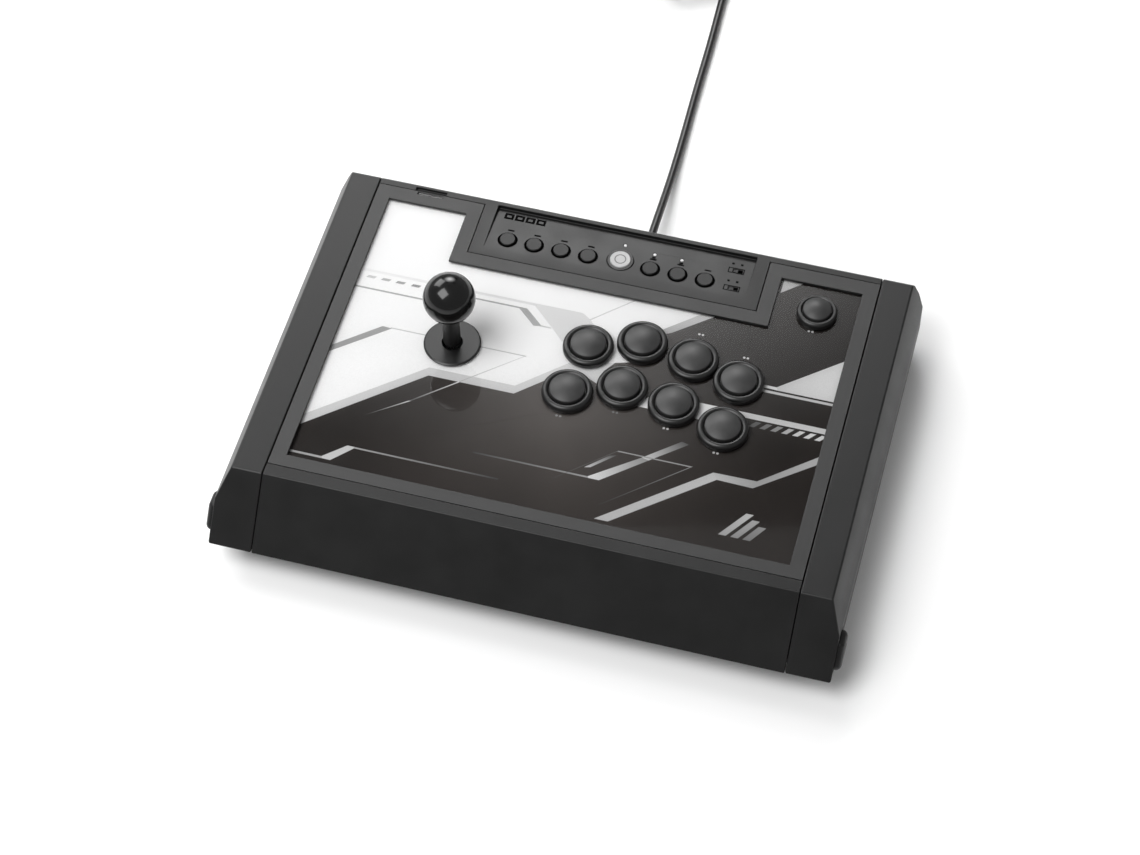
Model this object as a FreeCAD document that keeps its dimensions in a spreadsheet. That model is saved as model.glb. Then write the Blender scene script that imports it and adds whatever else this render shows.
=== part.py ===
import FreeCAD, Part

import math
import os

import Sketcher
from FreeCAD import Placement, Rotation, Vector

# Tournament-style arcade control panel: a hinged lid that carries the ball-top lever and the
# buttons, on a hollow base with rubber feet. Millimetres, +Z up, +Y to the back, origin at
# the middle of the footprint on the surface that the feet stand on.

SIZES = {
    # case
    "topWidth": 400,
    "sideFlare": 8.5,
    "topDepth": 262,
    "frontRun": 36,
    "panelHeight": 63,
    "splitHeight": 26.4,
    "frontFoot": 21.4,
    "flareDrop": 18,
    "caseWall": 2.6,
    "seamInset": 21.3,
    "seamGap": 0.3,
    "rimGap": 0.3,
    "backBevel": 2.5,
    "cornerCut": 4,
    # base
    "rimBand": 5.1,
    "bellyInset": 14,
    "baseFloor": 2.6,
    "footHeight": 3,
    "footSize": 13,
    "footSink": 1,
    "footInset": 26,
    "ballastLength": 300,
    "ballastDepth": 150,
    "ballastThickness": 1.5,
    "screwRadius": 1.5,
    "screwHead": 2.8,
    # hinge
    "knuckleRadius": 3.5,
    "knuckleLength": 18,
    "knuckleGap": 0.4,
    "hingeSpacing": 240,
    "pinRadius": 1.45,
    "pinFit": 0.05,
    # side release buttons
    "releaseProud": 4.5,
    "releaseLow": 22.5,
    "releaseBelowFlare": 5,
    "releaseBack": 32,
    "releaseGap": 0.6,
    "releaseTravel": 3,
    "releaseCorner": 4,
    "releaseSpring": 6,
    # panel sandwich
    "bezelThickness": 2,
    "windowThickness": 2,
    "artThickness": 0.3,
    "plateThickness": 2,
    "ledge": 7,
    "ledgeThickness": 3,
    "stackGap": 0.25,
    "frontStrip": 8.8,
    "rearStrip": 7,
    "windowSide": 10.7,
    "windowEnd": 9.5,
    "consoleHalfWidth": 101.6,
    "consoleDepth": 50.7,
    "consoleBorder": 10.5,
    "consoleFloor": 2.8,
    "recessHalfWidth": 92,
    "recessBack": 5.3,
    "recessRun": 38.7,
    "recessDepth": 3,
    "fingerNotchX": 141,
    "fingerNotchLength": 22,
    "fingerNotchDepth": 3,
    # play buttons
    "capRadius": 12.2,
    "rimOuter": 17.25,
    "barrelRadius": 14.9,
    "smallCapRadius": 9.8,
    "smallRimOuter": 13.85,
    "smallBarrelRadius": 11.9,
    "capGap": 0.3,
    "barrelFit": 0.1,
    "rimHeight": 5,
    "rimRound": 1.6,
    "capRise": 6,
    "capCrown": 3,
    "barrelDepth": 17,
    "barrelFloor": 2,
    "capFlange": 0.7,
    "flangeThickness": 2.4,
    "lipThickness": 2,
    "capSkin": 1.8,
    "stemRadius": 2.5,
    "pressTravel": 3,
    "switchLength": 20,
    "switchWidth": 6.4,
    "switchDepth": 9.5,
    # console buttons
    "menuRadius": 5.5,
    "menuHole": 6.5,
    "menuRise": 1.5,
    "menuTravel": 0.8,
    "menuFlange": 1.6,
    "homeRadius": 7.2,
    "homeRingWidth": 1.9,
    "knobLength": 3,
    "knobWidth": 2.2,
    "knobTravel": 3,
    "lensRadius": 1.1,
    "boardThickness": 1.6,
    "padThickness": 1.2,
    "domeHeight": 1.9,
    # lever
    "leverX": -89.8,
    "leverY": 19.75,
    "ballRadius": 17.5,
    "ballHeight": 47,
    "shaftRadius": 3.5,
    "coverRadius": 5.85,
    "coverFit": 0.1,
    "leverHole": 12,
    "washerRadius": 19.35,
    "washerThickness": 1.4,
    "washerHole": 7.2,
    "pivotDepth": 17,
    "leverBall": 7,
    "bushRadius": 11,
    "bushHalf": 5,
    "ballFit": 0.05,
    "housingSize": 58,
    "housingWall": 3,
    "actuatorRadius": 8,
    "actuatorHeight": 6,
    "gateDepth": 22.5,
    "gateThickness": 2.5,
    "tiltAngle": 8,
    # cord
    "cableRadius": 3,
    "cableX": 8,
    "cableHeight": 14,
    "reliefRadius": 5,
    "coilMean": 34,
    "coilColumns": 3,
    "coilRows": 4,
    "tailRoom": 6.5,
    "tieWidth": 9,
    "tieThickness": 1.2,
    "tailAngle": 150,
    "tailLength": 15,
    "plugLength": 12,
    "plugGripLength": 34,
    "plugWidth": 12,
    "plugHeight": 4.5,
    "gripWidth": 15.5,
    "gripHeight": 8.5,
}

# Play buttons from left to right, as places on the panel measured from its middle.
UPPER_ROW = ((-0.4, 22.8), (34.0, 34.8), (70.4, 29.4), (103.8, 19.1))
LOWER_ROW = ((-4.3, -16.8), (30.1, -4.5), (66.5, -9.5), (102.3, -20.4))
# Console buttons, lights and switches, measured from the panel's middle and its rear edge.
MENU_ROW = (-78.0, -59.1, -39.9, -20.7, 23.2, 42.5, 61.7)
MENU_FROM_REAR = 33.2
HOME_PLACE = (1.7, 31.0)
LIGHTS = ((1.6, 16.4), (23.2, 19.3), (42.3, 19.4))
SLIDE_SWITCHES = {"upper_mode_switch": (81.6, 19.0), "lower_mode_switch": (82.0, 35.5)}
# The option button, measured from the right seam and from the panel's middle.
OPTION_FROM_SEAM = 37.2
OPTION_Y = 89.5
# The cord's way over the floor behind the case, ending where it goes into its coil.
CORD_ROUTE = (
    (8, 179.25, 14),
    (8, 195, 14),
    (7.6, 220, 9.6),
    (6.8, 250, 4.8),
    (5.8, 288, 3.1),
    (4.2, 332, 3.1),
    (3.4, 380, 3.1),
    (1.6, 420, 3.1),
    (0.8, 446.4, 3.1),
)

# Fits and margins, in mm: the small play and the hidden details that no outside size sets.
SNUG = 0.05
LAP = 0.5
NOTCH_STEP = 2
WINDOW_REAR_INSET = 1.8
STEM_CLEARANCE = 0.5
# The cap's dome as shares of its radius and of its crown, then its edge and its ceiling.
CAP_DOME = ((0.36, 0.88), (0.66, 0.6), (0.88, 0.22))
CAP_ROUND = 0.9
CAP_CEILING = 0.6
MENU_SLACK = 0.2
MENU_ROUND = 0.5
MENU_FLANGE_WIDTH = 1.8
HOME_EXTRA_RISE = 0.2
RING_RISE = 0.8
RING_ROUND = 0.3
KNOB_FOOT = 1
KNOB_SINK = 0.4
LENS_DEPTH = 1
BOARD_REAR_GAP = 3
BOARD_FRONT_GAP = 2
MAT_LEFT_GAP = 2
MAT_RIGHT_GAP = 18
MAT_WIDTH = 20
# The lever: bush seat, gate slack in degrees, switches, clip (thickness, reach) and springs.
BUSH_PROUD = 0.6
BUSH_ROOM = 2
GATE_SLACK = 1
ACTUATOR_GAP = 2
SWITCH_CLEARANCE = 0.9
CLIP = (1, 2)
SPRING_INSET = 0.8
SPRING_SEAT = 1.1
SPRING_TURNS = 3
SPRING_SEGMENT = 0.5
LEVER_SPRING_WIRE = 0.55
COVER_LIFT = 1.2
COVER_SINK = 2
WASHER_BEVEL = 1
# The base: side buttons, spring ribs, feet, screws and the main board (width, depth).
NOTCH_ROOM = 4.3
RELEASE_SET_BACK = 0.8
RELEASE_WALL_GAP = 1
RELEASE_SPRING = (3.4, 0.4)
CORNER_SHARE = 0.3
BLOCK_DROP = 3
RIB_THICKNESS = 2
RIB_LENGTH = 10
RIB_BACK_GAP = 1
RIB_DROP = 5
FOOT_FIT = 0.1
SCREW_HEAD_HEIGHT = 1.4
SCREW_TIP = 1
MAIN_BOARD = (120, 52)
MAIN_BOARD_GAP = 8
POST_HEIGHT = 5
POST_RADIUS = 3
POST_INSET = 6
# The cord: collar (reach, depth) and boot of its relief, its tail, its tie.
COLLAR = (1.5, 4)
BOOT_STRAIGHT = 3
BOOT_LIP = 0.8
TAIL_GAP = 0.2
TIE_GAP = 0.6

doc = FreeCAD.newDocument("ArcadePanel")
sheet = doc.addObject("Spreadsheet::Sheet", "Sizes")
exported = []


class Size:
    """A length that keeps its formula, so that what it sets stays bound to the sheet."""

    def __init__(self, value, text=None):
        self.value = float(value)
        self.text = text or repr(float(value))

    def _join(self, other, sign, value):
        return Size(value, "(%s %s %s)" % (self.text, sign, other.text))

    def __add__(self, other):
        other = size(other)
        return self._join(other, "+", self.value + other.value)

    def __radd__(self, other):
        return size(other) + self

    def __sub__(self, other):
        other = size(other)
        return self._join(other, "-", self.value - other.value)

    def __rsub__(self, other):
        return size(other) - self

    def __mul__(self, other):
        other = size(other)
        return self._join(other, "*", self.value * other.value)

    def __rmul__(self, other):
        return size(other) * self

    def __truediv__(self, other):
        other = size(other)
        return self._join(other, "/", self.value / other.value)

    def __neg__(self):
        return Size(-self.value, "(-1 * %s)" % self.text)


def size(amount):
    return amount if isinstance(amount, Size) else Size(amount)


def hypotenuse(a, b):
    a, b = size(a), size(b)
    return Size(
        math.hypot(a.value, b.value), "sqrt(%s * %s + %s * %s)" % (a.text, a.text, b.text, b.text)
    )


def lesser(a, b):
    a, b = size(a), size(b)
    return Size(min(a.value, b.value), "min(%s; %s)" % (a.text, b.text))


def fillSheet():
    cells = {}
    for row, (name, amount) in enumerate(SIZES.items(), start=1):
        sheet.set("A%d" % row, name)
        sheet.set("B%d" % row, str(amount))
        sheet.setAlias("B%d" % row, name)
        cells[name] = Size(amount, "Sizes.%s" % name)
    doc.recompute()
    return cells


def bind(item, path, amount):
    item.setExpression(path, size(amount).text)


def move(item, x=0, y=0, z=0, turn=None):
    places = [size(x), size(y), size(z)]
    item.Placement = Placement(Vector(*[p.value for p in places]), turn or Rotation())
    for axis, amount in zip("xyz", places):
        bind(item, "Placement.Base.%s" % axis, amount)


PLANES = {"XY": "XY_Plane", "XZ": "XZ_Plane", "YZ": "YZ_Plane"}


def newBody(label):
    item = doc.addObject("PartDesign::Body", "Body_" + label)
    item.Label = label
    item.AllowCompound = True
    return item


def sketchOn(body, plane, height):
    """An empty sketch at that height along the plane's normal, in the body's own frame."""
    sketch = body.newObject("Sketcher::SketchObject", "Sketch")
    role = PLANES[plane]
    sketch.AttachmentSupport = [f for f in body.Origin.OriginFeatures if f.Role == role]
    sketch.MapMode = "FlatFace"
    bind(sketch, "AttachmentOffset.Base.z", height)
    return sketch


def fix(sketch, index, end, x, y):
    for kind, amount in (("DistanceX", x), ("DistanceY", y)):
        amount = size(amount)
        number = sketch.addConstraint(
            Sketcher.Constraint(kind, -1, 1, index, end, amount.value)
        )
        bind(sketch, "Constraints[%d]" % number, amount)


def addOutline(sketch, points):
    """A closed outline of straight lines, each corner tied to its two sizes."""
    points = [(size(x), size(y)) for x, y in points]
    first = sketch.GeometryCount
    count = len(points)
    spots = [Vector(x.value, y.value, 0) for x, y in points]
    for i in range(count):
        sketch.addGeometry(Part.LineSegment(spots[i], spots[(i + 1) % count]), False)
    for i in range(count):
        after = first + (i + 1) % count
        sketch.addConstraint(Sketcher.Constraint("Coincident", first + i, 2, after, 1))
    for i, (x, y) in enumerate(points):
        fix(sketch, first + i, 1, x, y)


def addCircle(sketch, x, y, radius):
    x, y, radius = size(x), size(y), size(radius)
    ring = Part.Circle(Vector(x.value, y.value, 0), Vector(0, 0, 1), radius.value)
    index = sketch.addGeometry(ring, False)
    fix(sketch, index, 3, x, y)
    number = sketch.addConstraint(Sketcher.Constraint("Radius", index, radius.value))
    bind(sketch, "Constraints[%d]" % number, radius)


def rectangle(x0, y0, x1, y1):
    return [(x0, y0), (x1, y0), (x1, y1), (x0, y1)]


def draw(sketch, shapes):
    for shape in shapes:
        if len(shape) == 3 and not isinstance(shape[0], tuple):
            addCircle(sketch, *shape)
        else:
            addOutline(sketch, shape)


def pad(body, plane, low, high, *shapes):
    """Adds the shapes between two heights along the plane's axis."""
    low, high = size(low), size(high)
    sketch = sketchOn(body, plane, -high if plane == "XZ" else low)
    draw(sketch, shapes)
    feature = body.newObject("PartDesign::Pad", "Pad")
    feature.Profile = sketch
    bind(feature, "Length", high - low)
    return feature


def pocket(body, plane, low, high, *shapes):
    """Cuts the shapes between two heights along the plane's axis."""
    low, high = size(low), size(high)
    doc.recompute()
    before = body.Shape.Volume
    sketch = sketchOn(body, plane, -low if plane == "XZ" else high)
    draw(sketch, shapes)
    feature = body.newObject("PartDesign::Pocket", "Pocket")
    feature.Profile = sketch
    bind(feature, "Length", high - low)
    doc.recompute()
    if body.Shape.Volume > before - 0.01:
        raise RuntimeError("%s: a pocket cuts nothing" % body.Label)
    return feature


def revolve(body, outline, cut=False):
    """Turns an outline of (radius, height) points about the body's own Z axis."""
    sketch = sketchOn(body, "XZ", 0)
    addOutline(sketch, outline)
    kind = "Groove" if cut else "Revolution"
    feature = body.newObject("PartDesign::" + kind, kind)
    feature.Profile = sketch
    feature.ReferenceAxis = (sketch, ["V_Axis"])
    feature.Angle = 360
    return feature


def edgesWhere(shape, wanted):
    return ["Edge%d" % n for n, e in enumerate(shape.Edges, start=1) if wanted(e)]


def roundEdges(body, radius, wanted):
    """Rounds the edges that the test picks."""
    doc.recompute()
    base = body.Tip
    names = edgesWhere(base.Shape, wanted)
    feature = body.newObject("PartDesign::Fillet", "Fillet")
    feature.Base = (base, names)
    bind(feature, "Radius", radius)
    body.Tip = feature
    return feature


def along(axis):
    def test(edge):
        step = edge.Vertexes[-1].Point - edge.Vertexes[0].Point
        return abs(abs(getattr(step, axis)) - step.Length) < 1e-6 < step.Length

    return test


def ordered(*ends):
    return sorted(ends, key=lambda end: end.value)


def keep(item, label=None):
    if label:
        item.Label = label
    exported.append(item)
    return item


def turned(label, outline, x, y, z):
    """A turned piece on an upright axis at (x, y), its heights measured from z."""
    item = newBody(label)
    revolve(item, outline)
    move(item, x, y, z)
    return item


def group(label, items):
    """Separate solids of one kind, as one sub-part."""
    item = doc.addObject("Part::Compound", "Group_" + label)
    item.Links = items
    return keep(item, label)


s = fillSheet()

topHalf = s["topWidth"] / 2
caseHalf = topHalf + s["sideFlare"]
totalDepth = s["frontRun"] + s["topDepth"] + s["knuckleRadius"]
frontY = -totalDepth / 2
topFrontY = frontY + s["frontRun"]
rearY = topFrontY + s["topDepth"]
middleY = topFrontY + s["topDepth"] / 2
topZ = s["panelHeight"]
splitZ = s["splitHeight"]
rimZ = splitZ - s["rimGap"]
seamX = topHalf - s["seamInset"]
cheekX = seamX + s["seamGap"] / 2
shellX = seamX - s["seamGap"] / 2
wall = s["caseWall"]
frontRise = topZ - s["frontFoot"]
slope = s["frontRun"] / frontRise
slopeWall = wall * hypotenuse(1, slope)
bezelZ = topZ - s["bezelThickness"]
windowZ = bezelZ - s["windowThickness"]
artZ = windowZ - s["artThickness"]
plateZ = artZ - s["plateThickness"]
ledgeZ = plateZ - s["ledgeThickness"]
releaseTop = topZ - s["flareDrop"] - s["releaseBelowFlare"]


def frontAt(z, inset=0):
    """Where the sloping front is at a height, or a plane that far inside it."""
    return frontY + (z - s["frontFoot"]) * slope + inset


def sideProfile(inset, top, foot, back):
    """The case's outline seen from the side, as a shell that far inside the outer one."""
    return [
        (frontAt(foot, inset), foot),
        (frontAt(top, inset), top),
        (back, top),
        (back, foot),
    ]


def outerProfile():
    bevel = s["backBevel"]
    return [
        (frontY, s["frontFoot"]),
        (topFrontY, topZ),
        (rearY - bevel, topZ),
        (rearY, topZ - bevel),
        (rearY, splitZ),
        (frontAt(splitZ, slopeWall), splitZ),
        (frontAt(s["frontFoot"], slopeWall), s["frontFoot"]),
    ]


innerBack = rearY - wall
deckZ = topZ - wall


def hingeAt(side):
    return side * s["hingeSpacing"] / 2


def hingeBarrel(body, low, high):
    pad(body, "YZ", low, high, (rearY, hingeZ, s["knuckleRadius"]))


hingeZ = splitZ - s["rimGap"] / 2
lidKnuckle = s["knuckleLength"] / 2
baseKnuckle = lidKnuckle + s["knuckleGap"]
baseKnuckleEnd = baseKnuckle + s["knuckleLength"]
knuckleClear = s["knuckleRadius"] + s["knuckleGap"]
pinHole = s["pinRadius"] + s["pinFit"]


def stackOutline(gap, inset=0):
    """The panel's outline: a rectangle between the seams with a step round the console."""
    side = shellX - gap - inset
    low = topFrontY + s["frontStrip"] + gap + inset
    high = rearY - s["rearStrip"] - gap - inset
    step = s["consoleHalfWidth"] + gap + inset
    stepY = rearY - s["consoleDepth"] - gap - inset
    return [
        (-side, low),
        (side, low),
        (side, high),
        (step, high),
        (step, stepY),
        (-step, stepY),
        (-step, high),
        (-side, high),
    ]


consoleFrontY = rearY - s["consoleDepth"]


def upperCase():
    """The middle of the lid: sloping front, rear wall, console deck and the panel's ledge."""
    body = newBody("upper_case")
    pad(body, "YZ", -shellX, shellX, outerProfile())
    pocket(body, "YZ", -shellX, shellX, sideProfile(slopeWall, ledgeZ, splitZ, innerBack))
    pocket(body, "XY", plateZ, topZ, stackOutline(0))
    pocket(body, "XY", ledgeZ, plateZ, stackOutline(0, s["ledge"]))
    console = rectangle(
        -(s["consoleHalfWidth"] - wall),
        consoleFrontY + wall,
        s["consoleHalfWidth"] - wall,
        innerBack,
    )
    pocket(body, "XY", ledgeZ, topZ - s["recessDepth"] - s["consoleFloor"], console)
    recessY = rearY - s["recessBack"]
    pocket(
        body,
        "YZ",
        -s["recessHalfWidth"],
        s["recessHalfWidth"],
        [
            (recessY - s["recessRun"], topZ),
            (recessY, topZ - s["recessDepth"]),
            (recessY, topZ),
        ],
    )
    pocket(
        body,
        "XY",
        topZ - s["bezelThickness"],
        topZ,
        rectangle(
            -s["fingerNotchX"] - s["fingerNotchLength"] / 2,
            rearY - s["rearStrip"] - LAP,
            -s["fingerNotchX"] + s["fingerNotchLength"] / 2,
            rearY - s["rearStrip"] + s["fingerNotchDepth"],
        ),
    )
    holes = [(x, rearY - MENU_FROM_REAR, s["menuHole"]) for x in MENU_ROW]
    homeHole = s["homeRadius"] + s["homeRingWidth"]
    holes.append((HOME_PLACE[0], rearY - HOME_PLACE[1], homeHole))
    holes += [(x, rearY - y, s["lensRadius"]) for x, y in LIGHTS]
    pocket(body, "XY", ledgeZ, topZ, *holes)
    slots = []
    for x, y in SLIDE_SWITCHES.values():
        halfLength = (s["knobLength"] + s["knobTravel"]) / 2 + s["capGap"]
        halfWidth = s["knobWidth"] / 2 + s["capGap"]
        slots.append(
            rectangle(
                x - halfLength,
                rearY - y - halfWidth,
                x + halfLength,
                rearY - y + halfWidth,
            )
        )
    pocket(body, "XY", ledgeZ, topZ, *slots)
    for side in (-1, 1):
        middle = hingeAt(side)
        for a, b in ((-1, -1), (1, 1)):
            ends = (middle + a * lidKnuckle, middle + b * (baseKnuckleEnd + s["knuckleGap"]))
            low, high = ends if a > 0 else ends[::-1]
            pocket(body, "YZ", low, high, (rearY, hingeZ, knuckleClear))
        hingeBarrel(body, middle - lidKnuckle, middle + lidKnuckle)
        pocket(
            body, "YZ", middle - lidKnuckle, middle + lidKnuckle, (rearY, hingeZ, pinHole)
        )
    return keep(body)


def cheek(side, label):
    """One end of the lid, from the seam out to the flared side wall."""
    body = newBody(label)
    ends = ordered(side * cheekX, side * caseHalf)
    pad(body, "YZ", *ends, outerProfile())
    over = 1
    pocket(
        body,
        "XZ",
        frontY - over,
        rearY + over,
        [
            (side * topHalf, topZ + over),
            (side * topHalf, topZ),
            (side * caseHalf, topZ - s["flareDrop"]),
            (side * (caseHalf + over), topZ - s["flareDrop"]),
            (side * (caseHalf + over), topZ + over),
        ],
    )
    pocket(body, "XY", s["frontFoot"] - over, topZ + over, rearCorner(side))
    inner = side * (cheekX + wall)
    for reach, top in (
        (topHalf - wall, deckZ),
        (caseHalf - wall, topZ - s["flareDrop"] - wall / 2),
    ):
        ends = ordered(inner, side * reach)
        pocket(body, "YZ", *ends, sideProfile(slopeWall, top, s["frontFoot"] - over, innerBack))
    pressedIn = caseHalf - wall - over - s["releaseTravel"] - s["releaseGap"]
    notchEnds = ordered(side * pressedIn, side * (caseHalf + over))
    pocket(body, "YZ", *notchEnds, releaseOutline(s["releaseGap"], s["frontFoot"] - over))
    return keep(body)


def rearCorner(side):
    """The triangle that is cut off the case's rear corners."""
    cut = s["cornerCut"]
    over = 1
    return [
        (side * (caseHalf - cut), rearY + over),
        (side * (caseHalf - cut), rearY),
        (side * caseHalf, rearY - cut),
        (side * (caseHalf + over), rearY - cut),
        (side * (caseHalf + over), rearY + over),
    ]


def releaseOutline(gap, low):
    """The release button's outline from the side, its front edge along the sloping front."""
    front = slopeWall - RELEASE_SET_BACK
    back = frontY + s["releaseBack"]
    high = releaseTop + gap
    return [
        (frontAt(low, front - gap), low),
        (back + gap, low),
        (back + gap, high),
        (frontAt(high, front - gap), high),
    ]


def bezelFrame():
    body = newBody("bezel_frame")
    pad(body, "XY", bezelZ, topZ, stackOutline(s["stackGap"]))
    pocket(body, "XY", bezelZ, topZ, windowOutline())
    pocket(
        body,
        "XY",
        bezelZ,
        topZ,
        rectangle(
            -s["fingerNotchX"] - s["fingerNotchLength"] / 2 + NOTCH_STEP,
            rearY - s["rearStrip"] - s["fingerNotchDepth"],
            -s["fingerNotchX"] + s["fingerNotchLength"] / 2 - NOTCH_STEP,
            rearY - s["rearStrip"],
        ),
    )
    return keep(body)


def windowOutline():
    side = seamX - s["windowSide"]
    low = topFrontY + s["frontStrip"] + s["windowEnd"]
    high = rearY - s["rearStrip"] - s["windowEnd"] - WINDOW_REAR_INSET
    step = s["consoleHalfWidth"] + s["consoleBorder"]
    stepY = consoleFrontY - s["consoleBorder"]
    return [
        (-side, low),
        (side, low),
        (side, high),
        (step, high),
        (step, stepY),
        (-step, stepY),
        (-step, high),
        (-side, high),
    ]


playButtons = [(x, middleY + y) for x, y in UPPER_ROW + LOWER_ROW]
optionPlace = (seamX - OPTION_FROM_SEAM, middleY + OPTION_Y)


def layer(label, low, high, leverHole):
    """One sheet of the panel, with the holes that the buttons and the lever go through."""
    body = newBody(label)
    pad(body, "XY", low, high, stackOutline(s["stackGap"]))
    holes = [(x, y, s["barrelRadius"] + s["barrelFit"]) for x, y in playButtons]
    holes.append((*optionPlace, s["smallBarrelRadius"] + s["barrelFit"]))
    holes.append((s["leverX"], s["leverY"], leverHole))
    pocket(body, "XY", low, high, *holes)
    return keep(body)


def pressZ(height):
    return bezelZ + height


def buttonHousing(x, y, rim, barrel, cap):
    """A snap-in button body: rounded rim above the panel, barrel below it, open bore."""
    lip = cap + s["capGap"]
    bore = lip + s["capFlange"]
    roof = s["rimHeight"] - s["lipThickness"]
    low = -s["barrelDepth"]
    body = turned(
        "housing",
        [
            (barrel, 0),
            (rim, 0),
            (rim, s["rimHeight"] - s["rimRound"]),
            (rim - s["rimRound"] / 3, s["rimHeight"] - s["rimRound"] / 3),
            (rim - s["rimRound"], s["rimHeight"]),
            (lip, s["rimHeight"]),
            (lip, roof),
            (bore, roof),
            (bore, low + s["barrelFloor"]),
            (s["stemRadius"] + s["capGap"], low + s["barrelFloor"]),
            (s["stemRadius"] + s["capGap"], low),
            (barrel, low),
        ],
        x,
        y,
        bezelZ,
    )
    return body


def buttonCap(label, x, y, cap):
    """The moving cap: domed top, hidden flange under the rim's lip, and a stem."""
    flange = cap + s["capFlange"]
    flangeTop = s["rimHeight"] - s["lipThickness"] - s["capGap"]
    flangeLow = flangeTop - s["flangeThickness"]
    skin = s["capSkin"]
    edge = s["capRise"]
    stem = s["barrelFloor"] + s["pressTravel"] - s["barrelDepth"] + STEM_CLEARANCE
    body = turned(
        label,
        [
            (0, edge + s["capCrown"]),
            *[(cap * out, edge + s["capCrown"] * up) for out, up in CAP_DOME],
            (cap, edge - CAP_ROUND),
            (cap, flangeTop),
            (flange, flangeTop),
            (flange, flangeLow),
            (cap - skin, flangeLow),
            (cap - skin, edge - skin - CAP_CEILING),
            (s["stemRadius"], edge - skin - CAP_CEILING),
            (s["stemRadius"], stem),
            (0, stem),
        ],
        x,
        y,
        bezelZ,
    )
    return keep(body)


def microSwitch(x, y):
    """A snap switch hung under a button's barrel."""
    item = doc.addObject("Part::Box", "Switch")
    bind(item, "Length", s["switchLength"])
    bind(item, "Width", s["switchWidth"])
    bind(item, "Height", s["switchDepth"])
    top = bezelZ - s["barrelDepth"]
    move(item, x - s["switchLength"] / 2, y - s["switchWidth"] / 2, top - s["switchDepth"])
    return item


def playControls():
    housings = []
    for x, y in playButtons:
        housings.append(
            buttonHousing(x, y, s["rimOuter"], s["barrelRadius"], s["capRadius"])
        )
    group("button_housings", housings)
    small = buttonHousing(
        *optionPlace, s["smallRimOuter"], s["smallBarrelRadius"], s["smallCapRadius"]
    )
    keep(small, "option_housing")
    names = ["upper_button_%d" % n for n in range(1, 5)]
    names += ["lower_button_%d" % n for n in range(1, 5)]
    for name, (x, y) in zip(names, playButtons):
        buttonCap(name, x, y, s["capRadius"])
    buttonCap("option_button", *optionPlace, s["smallCapRadius"])
    group("button_switches", [microSwitch(x, y) for x, y in playButtons + [optionPlace]])


consoleUnder = topZ - s["recessDepth"] - s["consoleFloor"]
flangeTopZ = consoleUnder - MENU_SLACK
boardTopZ = flangeTopZ - s["menuFlange"] - s["menuTravel"] - s["domeHeight"] - s["padThickness"]


def recessAt(fromRear):
    """The height of the console's sunken floor at a distance from the rear edge."""
    return topZ - s["recessDepth"] * (s["recessBack"] + s["recessRun"] - fromRear) / s["recessRun"]


def menuButton(label, x, fromRear, radius, rise):
    y = rearY - fromRear
    top = recessAt(fromRear) + rise
    low = flangeTopZ - s["menuFlange"]
    body = turned(
        label,
        [
            (0, top),
            (radius - MENU_ROUND, top),
            (radius, top - MENU_ROUND),
            (radius, flangeTopZ),
            (radius + MENU_FLANGE_WIDTH, flangeTopZ),
            (radius + MENU_FLANGE_WIDTH, low),
            (0, low),
        ],
        x,
        y,
        0,
    )
    return keep(body)


def homeRing():
    """The fixed ring that the home button moves in."""
    x, fromRear = HOME_PLACE
    inner = s["homeRadius"] + s["capGap"]
    outer = s["homeRadius"] + s["homeRingWidth"] - SNUG
    top = recessAt(fromRear) + RING_RISE
    low = consoleUnder
    return keep(
        turned(
            "home_ring",
            [
                (inner, low),
                (outer, low),
                (outer, top - RING_ROUND),
                (outer - RING_ROUND, top),
                (inner, top),
            ],
            x,
            rearY - fromRear,
            0,
        )
    )


def slideKnob(label, x, fromRear):
    """A tiny slide switch's knob, at rest at the left end of its slot."""
    body = newBody(label)
    left = x - (s["knobLength"] + s["knobTravel"]) / 2
    halfWidth = s["knobWidth"] / 2
    y = rearY - fromRear
    low = boardTopZ + KNOB_FOOT
    high = recessAt(fromRear) - KNOB_SINK
    outline = rectangle(left, y - halfWidth, left + s["knobLength"], y + halfWidth)
    pad(body, "XY", low, high, outline)
    return keep(body)


def console():
    for number, x in enumerate(MENU_ROW, start=1):
        menuButton("menu_button_%d" % number, x, MENU_FROM_REAR, s["menuRadius"], s["menuRise"])
    menuButton("home_button", *HOME_PLACE, s["homeRadius"], s["menuRise"] + HOME_EXTRA_RISE)
    homeRing()
    for label, (x, fromRear) in SLIDE_SWITCHES.items():
        slideKnob(label, x, fromRear)
    lenses = []
    for x, fromRear in LIGHTS:
        lens = doc.addObject("Part::Cylinder", "Lens")
        bind(lens, "Radius", s["lensRadius"] - SNUG)
        low = consoleUnder - LENS_DEPTH
        bind(lens, "Height", recessAt(fromRear) - low)
        move(lens, x, rearY - fromRear, low)
        lenses.append(lens)
    group("indicator_lenses", lenses)
    half = s["recessHalfWidth"]
    board = newBody("function_board")
    back = innerBack - BOARD_REAR_GAP
    front = consoleFrontY + wall + BOARD_FRONT_GAP
    pad(
        board,
        "XY",
        boardTopZ - s["boardThickness"],
        boardTopZ,
        rectangle(-half, front, half, back),
    )
    keep(board)
    rubber = newBody("key_membrane")
    row = rearY - MENU_FROM_REAR
    padTop = boardTopZ + s["padThickness"]
    left, right, reach = -half + MAT_LEFT_GAP, half - MAT_RIGHT_GAP, MAT_WIDTH / 2
    pad(rubber, "XY", boardTopZ, padTop, rectangle(left, row - reach, right, row + reach))
    domes = [(x, row, s["menuRadius"] / 2) for x in MENU_ROW]
    domes.append((HOME_PLACE[0], rearY - HOME_PLACE[1], s["menuRadius"] / 2))
    pad(rubber, "XY", padTop, padTop + s["domeHeight"] - MENU_SLACK, *domes)
    keep(rubber)


pivotZ = topZ - s["pivotDepth"]
leverPlace = (s["leverX"], s["leverY"])


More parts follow.
